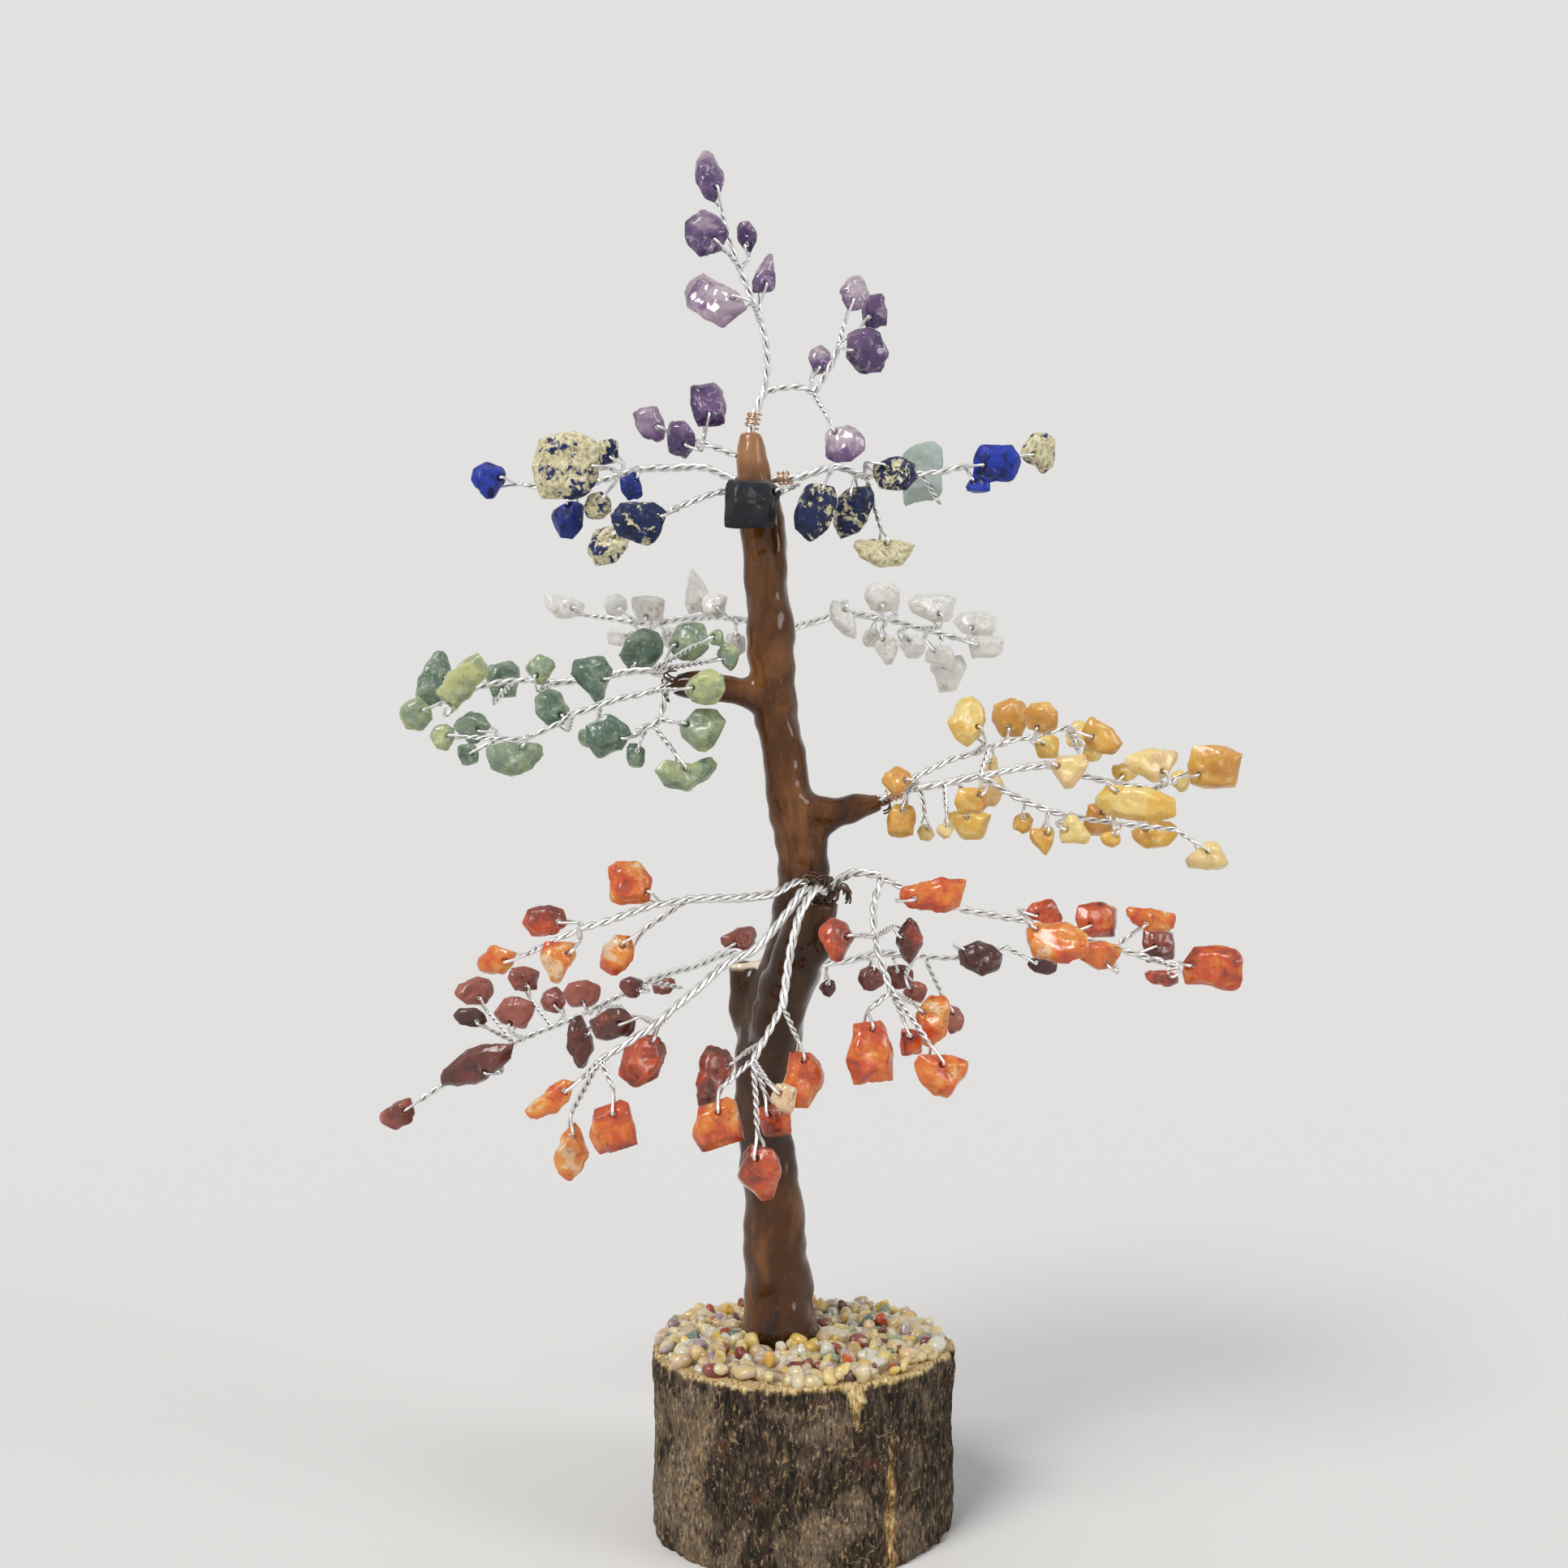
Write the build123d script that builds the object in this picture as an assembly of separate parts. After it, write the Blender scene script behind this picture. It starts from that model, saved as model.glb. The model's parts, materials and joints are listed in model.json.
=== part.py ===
from build123d import *
import math
import os
import random

# A gemstone tree: a bark-covered log slice carries a coated wire trunk, and twisted wire
# sprays hold drilled stone chips of seven kinds. The origin is the middle of the log's foot.
# +X is to the right, +Y is away from the viewer and +Z is up.

# Sizes of the whole, in millimetres
pixel = 0.134                  # what one pixel of the photograph covers at the trunk
log_height = 29.5
log_diameter = 49.0
bark_thickness = 2.0
bark_gap = 0.05
seat_gap = 0.3                 # air between a wire and what it comes out of

# Where the photograph was taken from, in its own pixels
eye_distance_px = 2372
middle_px = 966
log_middle_px = 986
log_top_px = 1654
near_px = 40                   # depths past this are drawn out, as the sprays spread to the back and front
drawn_out_share = 0.45


def place(across, down, depth):
    """The point that shows at this pixel, depth pixels behind the middle of the trunk."""
    depth += math.copysign(max(abs(depth) - near_px, 0), depth) * drawn_out_share
    spread = (eye_distance_px + depth) / eye_distance_px
    right = (across - middle_px) * spread - (log_middle_px - middle_px)
    up = (log_top_px - middle_px) - (down - middle_px) * spread
    return Vector(right * pixel, depth * pixel, log_height + up * pixel)


def save(name, solids):
    """One file for a piece, or for a group of like pieces."""
    shape = solids[0] if len(solids) == 1 else Compound(solids)
    export_step(shape, "parts/" + name + ".step")


# Log slice: the sawn wood, with a drilled socket for the armature
socket_depth = 18.0
armature_diameter = 2.0
armature_gap = 0.1
trunk_foot_px = (962, 1654, 0)

wood_radius = log_diameter / 2 - bark_thickness - bark_gap
bore_diameter = armature_diameter + 2 * armature_gap
foot = place(*trunk_foot_px)


def make_log_wood():
    wood = Solid.make_cylinder(wood_radius, log_height)
    socket_floor = Plane((foot.X, foot.Y, log_height - socket_depth))
    return wood.cut(Solid.make_cylinder(bore_diameter / 2, socket_depth, socket_floor))


# Bark: an uneven ring round the wood, with one bare V below the rim
bark_sides = 30
bark_swells = 3                # round the log
bark_ripples = 7
bark_swell_share = 0.016
bark_ripple_share = 0.6        # of a swell
bark_turns = [0.4, 0.9, 1.3]   # how far the swells have turned at the foot, half way up and at the rim
bare_top_width = 6.0
bare_depth = 7.5
bare_bearing = -70             # degrees from +X, seen from above


def bark_outline(height, turn):
    points = []
    for side in range(bark_sides):
        angle = 2 * math.pi * side / bark_sides
        swell = math.sin(bark_swells * angle + turn)
        swell += bark_ripple_share * math.sin(bark_ripples * angle + 2 * turn)
        radius = log_diameter / 2 * (1 + bark_swell_share * swell)
        points.append(Vector(radius * math.cos(angle), radius * math.sin(angle), height))
    return Wire.make_polygon(points, close=True)


def make_log_bark():
    levels = [0, log_height / 2, log_height]
    outside = Solid.make_loft([bark_outline(level, turn) for level, turn in zip(levels, bark_turns)], True)
    ring = outside.cut(Solid.make_cylinder(wood_radius + bark_gap, log_height))
    bare = Plane((0, 0, log_height), x_dir=(0, 0, -1), z_dir=(1, 0, 0)) * Polygon(
        (0, -bare_top_width / 2), (bare_depth, 0), (0, bare_top_width / 2), align=None)
    notch = extrude(bare, log_diameter)
    return ring.cut(notch.rotate(Axis.Z, bare_bearing))


# Trunk: across, down and half width of the glossy coating at each level, in pixels
trunk_px = [
    (962, 1654, 52), (960, 1612, 44), (957, 1545, 39), (952, 1470, 37), (940, 1385, 33),
    (939, 1310, 34), (952, 1235, 35), (972, 1170, 33), (988, 1090, 30), (984, 1025, 33),
    (972, 964, 30), (962, 900, 26), (952, 850, 29), (949, 790, 29), (945, 730, 28),
    (941, 660, 27), (932, 610, 23), (926, 565, 19), (924, 533, 13),
]

# Stubs of the lower branches: the places and half widths along each, in pixels
front_stub_px = [((942, 1330, -6), 27), ((962, 1240, -40), 35), ((990, 1160, -66), 32), ((1010, 1106, -80), 23)]
back_stub_px = [((946, 1305, 4), 27), ((921, 1240, 14), 23), ((916, 1185, 20), 20)]
left_stub_px = [((945, 858, 0), 26), ((905, 850, -6), 18), ((829, 842, -12), 15)]
right_stub_px = [((978, 1004, 0), 34), ((1030, 1002, 0), 23), ((1086, 987, 0), 11)]
stubs_px = [front_stub_px, back_stub_px, left_stub_px, right_stub_px]


def stub_sections(stub_px):
    """Rings square to the stub, from its root to its cut end."""
    spots = [place(*spot) for spot, half in stub_px]
    rings = []
    for step, (spot, half) in enumerate(stub_px):
        before = spots[max(step - 1, 0)]
        after = spots[min(step + 1, len(spots) - 1)]
        rings.append(Plane(spots[step], z_dir=after - before) * Circle(half * pixel))
    return rings


def make_trunk_coating():
    levels = [Pos(place(across, down, 0)) * Circle(half * pixel) for across, down, half in trunk_px]
    coating = loft(levels)
    for stub_px in stubs_px:
        coating = coating + loft(stub_sections(stub_px), ruled=True)
    channels = [trunk_bundle(bore_diameter, 0)] + stub_bundles(stub_core_diameter + 2 * armature_gap)
    return coating.solids()[0].cut(*channels).solids()[0]


corner_run_share = 0.45        # how much of the shorter run beside it a corner's curve takes up


def tube(points, diameter):
    """Round wire on straight runs, each corner as open as the shorter run beside it allows."""
    if len(points) == 2:
        start, end = points
        return Solid.make_cylinder(diameter / 2, (end - start).length, Plane(start, z_dir=end - start))
    radii = []
    for before, corner, after in zip(points, points[1:], points[2:]):
        turn = math.radians((corner - before).get_angle(after - corner))
        shorter_run = min((corner - before).length, (after - corner).length)
        radii.append(corner_run_share * shorter_run / math.tan(turn / 2))
    path = FilletPolyline(*points, radius=radii)
    return sweep(Plane(path ^ 0) * Circle(diameter / 2), path).solids()[0]


# Armature: the wire bundle from the socket up the trunk, and a short bundle in each stub
armature_px = [(944, 1385, 0), (947, 1250, 0), (984, 1110, 0), (976, 980, 0), (952, 840, 0), (943, 690, 0)]
armature_top_px = (928, 566, 0)
armature_upright = 15.0        # straight height above the log before the first bend
stub_core_start_share = 0.3
stub_core_diameter = 1.6


def trunk_bundle(diameter, end_gap):
    """The bundle from the socket to the tip of the trunk, or its channel at a larger diameter."""
    bottom = Vector(foot.X, foot.Y, log_height - socket_depth + end_gap)
    upright = Vector(foot.X, foot.Y, log_height + armature_upright)
    rise = [place(*spot) for spot in armature_px] + [place(*armature_top_px)]
    return tube([bottom, upright] + rise, diameter)


def stub_bundles(diameter):
    """The short bundle inside each stub, flush with its cut end, or its channel."""
    cores = []
    for stub_px in stubs_px:
        inner = place(*stub_px[-2][0])
        outer = place(*stub_px[-1][0])
        start = inner + (outer - inner) * stub_core_start_share
        cores.append(tube([start, outer], diameter))
    return cores


# Glue bed: a thin clear sheet on the sawn top, open where the trunk foot stands
bed_thickness = 0.8
bed_rim = 1.6                  # bare wood left inside the bark
bed_sides = 24
bed_swells = 5
bed_ripples = 9
bed_swell_share = 0.02
bed_ripple_share = 0.015
foot_radius = trunk_px[0][2] * pixel
bed_radius = wood_radius - bed_rim


def make_glue_bed():
    points = []
    for side in range(bed_sides):
        angle = 2 * math.pi * side / bed_sides
        swell = bed_swell_share * math.sin(bed_swells * angle)
        ripple = bed_ripple_share * math.cos(bed_ripples * angle)
        radius = bed_radius * (1 + swell + ripple)
        points.append((radius * math.cos(angle), radius * math.sin(angle)))
    sheet = extrude(Pos(0, 0, log_height) * Polygon(*points, align=None), bed_thickness)
    hole = Solid.make_cylinder(foot_radius + seat_gap, bed_thickness, Plane((foot.X, foot.Y, log_height)))
    return sheet.cut(hole).solids()[0]


# Gravel: small flat-based stones on the bed, laid out on a spiral and sorted by mineral
gravel_size = 3.1
gravel_height = 2.3
gravel_count = 130
gravel_seed = 11
gravel_sides = [5, 6, 7]
gravel_size_shares = (0.8, 1.0)
gravel_height_shares = (0.7, 1.2)
gravel_ring_shares = [(0, 0.82), (0.4, 1.0), (1.0, 0.55)]   # of the height, and of the width
gravel_dent_share = 0.16
gravel_overhang_share = 0.4    # of a stone's width, from its middle to the edge of the bed
golden_angle = math.pi * (3 - math.sqrt(5))
gravel_minerals = ["quartz", "citrine", "quartz", "carnelian", "quartz", "amethyst", "citrine",
                   "jasper", "quartz", "aventurine", "quartz", "citrine"]


def gravel_stone(spot, size, height, turn, sides):
    rings = []
    for level, share in gravel_ring_shares:
        points = []
        for side in range(sides):
            angle = turn + 2 * math.pi * side / sides
            radius = size / 2 * share * (1 - gravel_dent_share * math.sin(2 * angle + turn) ** 2)
            offset = Vector(radius * math.cos(angle), radius * math.sin(angle), level * height)
            points.append(spot + offset)
        rings.append(Wire.make_polygon(points, close=True))
    return Solid.make_loft(rings, True)


def make_gravel():
    """Stones by mineral. Those that would meet the trunk foot or the bed's edge are left out."""
    random.seed(gravel_seed)
    heaps = {mineral: [] for mineral in gravel_minerals}
    for step in range(gravel_count):
        radius = bed_radius * math.sqrt((step + 0.5) / gravel_count)
        angle = step * golden_angle
        size = gravel_size * random.uniform(*gravel_size_shares)
        height = gravel_height * random.uniform(*gravel_height_shares)
        turn = random.uniform(0, math.pi)
        sides = random.choice(gravel_sides)
        spot = Vector(radius * math.cos(angle), radius * math.sin(angle), log_height + bed_thickness)
        from_foot = math.hypot(spot.X - foot.X, spot.Y - foot.Y)
        on_bed = radius < bed_radius - size * gravel_overhang_share
        fits = on_bed and from_foot > foot_radius + seat_gap + size / 2
        if fits:
            mineral = gravel_minerals[step % len(gravel_minerals)]
            heaps[mineral].append(gravel_stone(spot, size, height, turn, sides))
    return heaps


# Outlines of the tumbled chips, as shares of half their width and half their height
oval_shares = [(-0.6, -0.9), (0.45, -1), (1, -0.35), (0.9, 0.6), (0.25, 1), (-0.7, 0.8), (-1, 0)]
block_shares = [(-0.85, -1), (0.8, -0.9), (1, 0.65), (0.6, 1), (-0.8, 0.9), (-1, 0.1)]
wedge_shares = [(-0.8, -1), (0.75, -0.9), (1, -0.35), (0.2, 1), (-0.25, 0.95), (-1, -0.45)]
leaf_shares = [(0.05, -1), (0.75, -0.5), (1, 0.15), (0.55, 0.75), (0, 1), (-0.7, 0.55), (-1, -0.1), (-0.6, -0.7)]
moon_shares = [(-0.8, -0.4), (-0.15, -1), (0.5, -0.9), (0.95, -0.1), (1, 0.6), (0.2, 0.95), (-0.9, 0.8), (-1, 0.3)]
kite_shares = [(-0.2, -1), (0.3, -0.95), (1, 0.1), (0.7, 0.7), (-0.1, 1), (-0.85, 0.5), (-1, 0)]
heart_shares = [(0, -1), (0.7, -0.4), (1, 0.35), (0.75, 0.95), (0.1, 0.6), (-0.6, 1), (-1, 0.4), (-0.7, -0.5)]

# Chips, their drilled holes and the wire
strand_diameter = 0.5
pair_diameter = 1.0
drill_gap = 0.25
loop_rise = 1.0                # how far a strand stands out of its hole before it turns back
loop_corner = 0.4
loop_end_gap = 0.1
rim_to_hole = 1.9
rim_to_twist = 1.1
shortest_twig = 0.4
stone_thickness_share = 0.52
thinnest_stone = 2.0
thickest_stone = 4.2
# How high each ring of a chip lies, as a share of its thickness, and its share of the outline
stone_ring_shares = [(-0.5, 0.55), (0.06, 1.0), (0.5, 0.62)]
lean_limit = 24                # degrees that a chip's flat turns from the viewer
nod_limit = 14.4               # degrees that it looks up or down
lean_step = 2.4                # radians by which the lean goes on from one chip to the next
lean_start = 0.7
nod_step = 1.7
slant_limit = 0.5              # a seat across or along a stem needs a slant past this sine or cosine

drill_diameter = strand_diameter + 2 * drill_gap
nodes = {}
stone_plans = {}


def stone_plane(spot, turn, index):
    """Where a chip lies: its flat looks at the viewer, leant a little, and then turned."""
    yaw = math.radians(lean_limit * math.sin(lean_step * index + lean_start))
    pitch = math.radians(nod_limit * math.cos(nod_step * index))
    facing = Vector(math.sin(yaw) * math.cos(pitch), -math.cos(yaw) * math.cos(pitch), math.sin(pitch))
    level = Vector(math.cos(yaw), math.sin(yaw), 0)
    x_dir = level.rotate(Axis((0, 0, 0), facing), turn)
    return Plane(spot, x_dir=x_dir, z_dir=facing)


def reach_along(outline, heading):
    """How far an outline reaches from its middle in one direction of its own plane."""
    far = 0
    for (start_x, start_y), (end_x, end_y) in zip(outline, outline[1:] + outline[:1]):
        edge_x, edge_y = end_x - start_x, end_y - start_y
        cross = heading[0] * edge_y - heading[1] * edge_x
        if cross != 0:
            along = (start_x * edge_y - start_y * edge_x) / cross
            beside = (start_x * heading[1] - start_y * heading[0]) / cross
            if along > far and 0 <= beside <= 1:
                far = along
    return far


def fork_on(stems, spot):
    """The nearest place to a spot on the stems, with the stem's own way there and its radius."""
    nearest = None
    for route, radius in stems:
        for start, end in zip(route, route[1:]):
            run = end - start
            along = min(max((spot - start).dot(run) / run.length ** 2, 0), 1)
            fork = start + run * along
            if nearest is None or (spot - fork).length < (spot - nearest[0]).length:
                nearest = (fork, run.normalized(), radius)
    return nearest


def clear_of_stem(way, stem_way, stem_radius, radius):
    """How far out along its way a forking wire starts, so that it seats on the stem without touching."""
    cosine = way.dot(stem_way)
    sine = math.sqrt(max(1 - cosine ** 2, 0))
    choices = [stem_radius + radius + seat_gap]
    if sine > slant_limit:
        choices.append((stem_radius + seat_gap + radius * abs(cosine)) / sine)
    if cosine > slant_limit:
        choices.append((seat_gap + radius * sine) / cosine)
    return min(choices)


def hang_stone(row, index, stems, hangs=False):
    """A drilled chip, the strand looped through it and the twisted twig back to its fork.

    A chip that hangs is drilled above its middle. Any other is drilled on its fork's side.
    """
    spot_px, size_px, turn, outline_shares, fork_px = row
    near = pixel * (eye_distance_px + spot_px[2]) / eye_distance_px
    width, height = size_px[0] * near, size_px[1] * near
    thickness = min(max(stone_thickness_share * min(width, height), thinnest_stone), thickest_stone)
    plane = stone_plane(place(*spot_px), turn, index)
    outline = [(across * width / 2, up * height / 2) for across, up in outline_shares]
    rings = []
    for level, share in stone_ring_shares:
        points = [Vector(across * share, up * share, level * thickness) for across, up in outline]
        rings.append(Wire.make_polygon(points, close=True))
    stone = Solid.make_loft(rings, True)

    fork, stem_way, stem_radius = fork_on(stems, place(*fork_px))
    above = plane.origin + Vector(0, 0, height)
    toward = plane.to_local_coords(above if hangs else fork)
    distance = math.hypot(toward.X, toward.Y)
    heading = (toward.X / distance, toward.Y / distance)
    reach = reach_along(outline, heading)
    hole_out = reach - min(rim_to_hole, reach / 2)
    twist_out = reach + rim_to_twist
    hole = Vector(heading[0] * hole_out, heading[1] * hole_out, 0)
    twist = Vector(heading[0] * twist_out, heading[1] * twist_out, 0)
    drill = Solid.make_cylinder(drill_diameter / 2, 2 * thickness, Plane(hole - Vector(0, 0, thickness)))
    stone = stone.cut(drill)

    rise = Vector(0, 0, thickness / 2 + loop_rise)
    apart = Vector(0, 0, (strand_diameter + loop_end_gap) / 2)
    path = FilletPolyline(twist + apart, hole + rise, hole - rise, twist - apart, radius=loop_corner)
    loop = sweep(Plane(path ^ 0) * Circle(strand_diameter / 2), path).solids()[0]

    placed = plane.location
    twist_end = plane.from_local_coords(twist)
    stone = stone.moved(placed)
    wires = [loop.moved(placed)]
    way = (fork - twist_end).normalized()
    clear = clear_of_stem(way * -1, stem_way, stem_radius, pair_diameter / 2)
    if (fork - twist_end).length > clear + seat_gap + shortest_twig:
        wires.append(tube([twist_end + way * seat_gap, fork - way * clear], pair_diameter))
    plan = (plane.from_local_coords(hole), plane.z_dir)
    return stone, wires, plan


def make_spray(name, roots_px, forks_px, stones_px, pendants_px=()):
    """A spray of wire with its chips.

    Roots are stems from the trunk, and forks are stems that leave an earlier stem. Each is a
    row of the bundle's size, in pairs across, and its route.
    """
    stems = []
    for bundle, route_px in roots_px:
        stems.append(([place(*spot) for spot in route_px], bundle * pair_diameter / 2))
    for bundle, route_px in forks_px:
        route = [place(*spot) for spot in route_px]
        radius = bundle * pair_diameter / 2
        fork, stem_way, stem_radius = fork_on(stems, route[0])
        way = (route[1] - fork).normalized()
        route[0] = fork + way * clear_of_stem(way, stem_way, stem_radius, radius)
        stems.append((route, radius))
    wires = [tube(route, 2 * radius) for route, radius in stems]
    stones = []
    for index, row in enumerate(stones_px):
        stone, stone_wires, plan = hang_stone(row, index, stems)
        stones.append(stone)
        wires += stone_wires
        stone_plans[name + str(index)] = plan
    for index, (pendant_name, row) in enumerate(pendants_px):
        stone, stone_wires, plan = hang_stone(row, index, stems, hangs=True)
        nodes[pendant_name] = [stone]
        wires += stone_wires
        stone_plans[pendant_name] = plan
    nodes[name + "_wires"] = wires
    nodes[name + "_chips"] = stones


# Amethyst crown, straight up from the tip of the trunk
make_spray("amethyst_crown", roots_px=[
    (1.5, [(925, 529, 0), (931, 505, 0), (941, 484, 2)]),
], forks_px=[
    (1.2, [(941, 476, 3), (946, 450, 2), (943, 422, 0), (938, 400, 0)]),
    (1.2, [(935, 390, 0), (926, 368, 0), (913, 335, 0)]),
    (1.0, [(909, 325, 0), (901, 300, 2), (892, 276, 0)]),
], stones_px=[
    ((873, 218, 0), (40, 84), 5, leaf_shares, (890, 270, 0)),
    ((868, 288, -28), (56, 58), 20, oval_shares, (911, 330, 0)),
    ((920, 290, 32), (30, 47), 10, leaf_shares, (913, 331, 4)),
    ((943, 338, 22), (33, 62), -15, wedge_shares, (936, 395, 4)),
    ((878, 372, -34), (92, 56), -35, block_shares, (934, 396, -2)),
])

# Amethyst, the side spray that leaves the crown to the right
make_spray("amethyst_right", roots_px=[
    (1.2, [(952, 481, -2), (966, 478, -10), (985, 477, -16), (1002, 484, -20)]),
], forks_px=[
    (1.2, [(1007, 476, -20), (1018, 458, -20), (1032, 428, -16)]),
], stones_px=[
    ((1052, 362, 6), (40, 58), -20, leaf_shares, (1034, 422, -12)),
    ((1077, 383, 44), (35, 52), 10, block_shares, (1035, 424, -10)),
    ((1068, 432, -44), (55, 65), 10, oval_shares, (1034, 426, -22)),
    ((1010, 446, 26), (35, 47), -10, kite_shares, (1002, 483, -14)),
    ((1038, 547, -58), (60, 53), 0, oval_shares, (1005, 490, -24)),
])

# Amethyst, the low spray on the left of the trunk's tip
make_spray("amethyst_left", roots_px=[
    (1.2, [(904, 561, 2), (884, 553, 10), (866, 546, 10)]),
], forks_px=[
], stones_px=[
    ((872, 500, 14), (48, 60), 5, block_shares, (863, 545, 12)),
    ((801, 523, 30), (38, 56), 25, moon_shares, (861, 545, 16)),
    ((838, 541, -26), (42, 52), -10, oval_shares, (864, 547, 4)),
])

# Lapis, left: one stem behind and one in front
make_spray("lapis_left", roots_px=[
    (1.4, [(904, 591, 4), (870, 576, 30), (838, 575, 44), (800, 577, 52), (770, 584, 58)]),
    (1.2, [(907, 602, -10), (872, 608, -34), (836, 624, -46)]),
], forks_px=[
    (1.2, [(762, 588, 60), (720, 598, 78), (680, 602, 84), (652, 598, 80)]),
], stones_px=[
    ((603, 592, 74), (50, 55), 0, kite_shares, (644, 598, 80)),
    ((697, 575, 8), (97, 86), 0, oval_shares, (766, 586, 56)),
    ((748, 556, 92), (34, 34), 0, block_shares, (768, 584, 62)),
    ((778, 600, 16), (32, 37), 20, block_shares, (770, 586, 52)),
    ((700, 640, 62), (48, 56), 0, oval_shares, (722, 602, 78)),
    ((736, 624, 24), (38, 40), 0, oval_shares, (762, 592, 56)),
    ((788, 642, -80), (76, 58), -10, oval_shares, (832, 626, -49)),
    ((748, 672, -20), (62, 54), 10, oval_shares, (832, 627, -44)),
])

# Lapis, right: a long stem with a short one that curls round the front of the trunk
make_spray("lapis_right", roots_px=[
    (1.4, [(954, 590, -4), (984, 588, -14), (1008, 579, -18), (1034, 574, -14), (1062, 586, -6)]),
    (1.0, [(952, 603, -14), (968, 604, -34), (982, 598, -50)]),
], forks_px=[
    (1.2, [(1070, 589, -4), (1100, 588, 12), (1136, 584, 18), (1168, 580, 20), (1188, 575, 18)]),
], stones_px=[
    ((926, 622, -60), (78, 66), -4, block_shares, (974, 602, -48)),
    ((1004, 627, -62), (56, 78), -25, oval_shares, (1026, 578, -18)),
    ((1052, 628, -30), (56, 84), -30, leaf_shares, (1064, 586, -8)),
    ((1100, 583, -32), (72, 47), 5, oval_shares, (1068, 588, -6)),
    ((1135, 583, 62), (60, 84), 8, block_shares, (1134, 586, 22)),
    ((1228, 571, -6), (66, 50), -4, block_shares, (1192, 574, 14)),
    ((1281, 557, 46), (54, 56), 20, kite_shares, (1192, 573, 26)),
    ((1206, 600, -14), (34, 28), 0, oval_shares, (1190, 578, 14)),
    ((1091, 681, -22), (92, 40), 0, moon_shares, (1068, 594, -6)),
])

# Clear quartz behind the trunk, to the left
make_spray("quartz_left", roots_px=[
    (1.4, [(937, 772, 30), (915, 764, 62), (885, 760, 96), (850, 762, 126), (812, 768, 146)]),
], forks_px=[
    (1.2, [(804, 769, 149), (782, 769, 160), (752, 762, 172)]),
], stones_px=[
    ((692, 748, 176), (57, 35), -10, moon_shares, (745, 761, 174)),
    ((757, 745, 138), (34, 32), 0, oval_shares, (786, 767, 158)),
    ((799, 750, 112), (50, 38), 0, block_shares, (812, 768, 143)),
    ((857, 728, 108), (40, 62), 10, wedge_shares, (880, 760, 99)),
    ((880, 746, 56), (40, 36), 0, oval_shares, (896, 763, 80)),
    ((906, 794, 48), (34, 34), 30, kite_shares, (906, 767, 72)),
    ((828, 786, 168), (38, 30), -15, oval_shares, (814, 770, 148)),
    ((764, 786, 190), (44, 24), -10, block_shares, (784, 770, 163)),
])

# Clear quartz behind the trunk, to the right
make_spray("quartz_right", roots_px=[
    (1.4, [(965, 777, 28), (1000, 767, 70), (1030, 757, 98), (1058, 756, 116), (1088, 762, 132)]),
], forks_px=[
    (1.2, [(1097, 765, 137), (1140, 776, 152), (1178, 786, 160)]),
], stones_px=[
    ((1037, 762, 54), (34, 64), 30, leaf_shares, (1030, 758, 94)),
    ((1087, 736, 100), (52, 38), 0, oval_shares, (1086, 761, 128)),
    ((1092, 738, 170), (46, 36), 15, block_shares, (1088, 760, 136)),
    ((1150, 748, 116), (78, 40), 0, moon_shares, (1134, 774, 148)),
    ((1203, 768, 190), (70, 36), -8, oval_shares, (1182, 786, 164)),
    ((1215, 797, 140), (54, 32), 0, block_shares, (1184, 788, 160)),
    ((1073, 786, 140), (30, 26), 0, oval_shares, (1080, 762, 131)),
    ((1093, 800, 104), (38, 44), 10, kite_shares, (1094, 766, 132)),
    ((1124, 796, 176), (38, 36), 0, oval_shares, (1120, 772, 150)),
    ((1158, 808, 112), (42, 32), -20, block_shares, (1142, 778, 150)),
    ((1167, 834, 152), (49, 56), 180, wedge_shares, (1158, 782, 158)),
])

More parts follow.
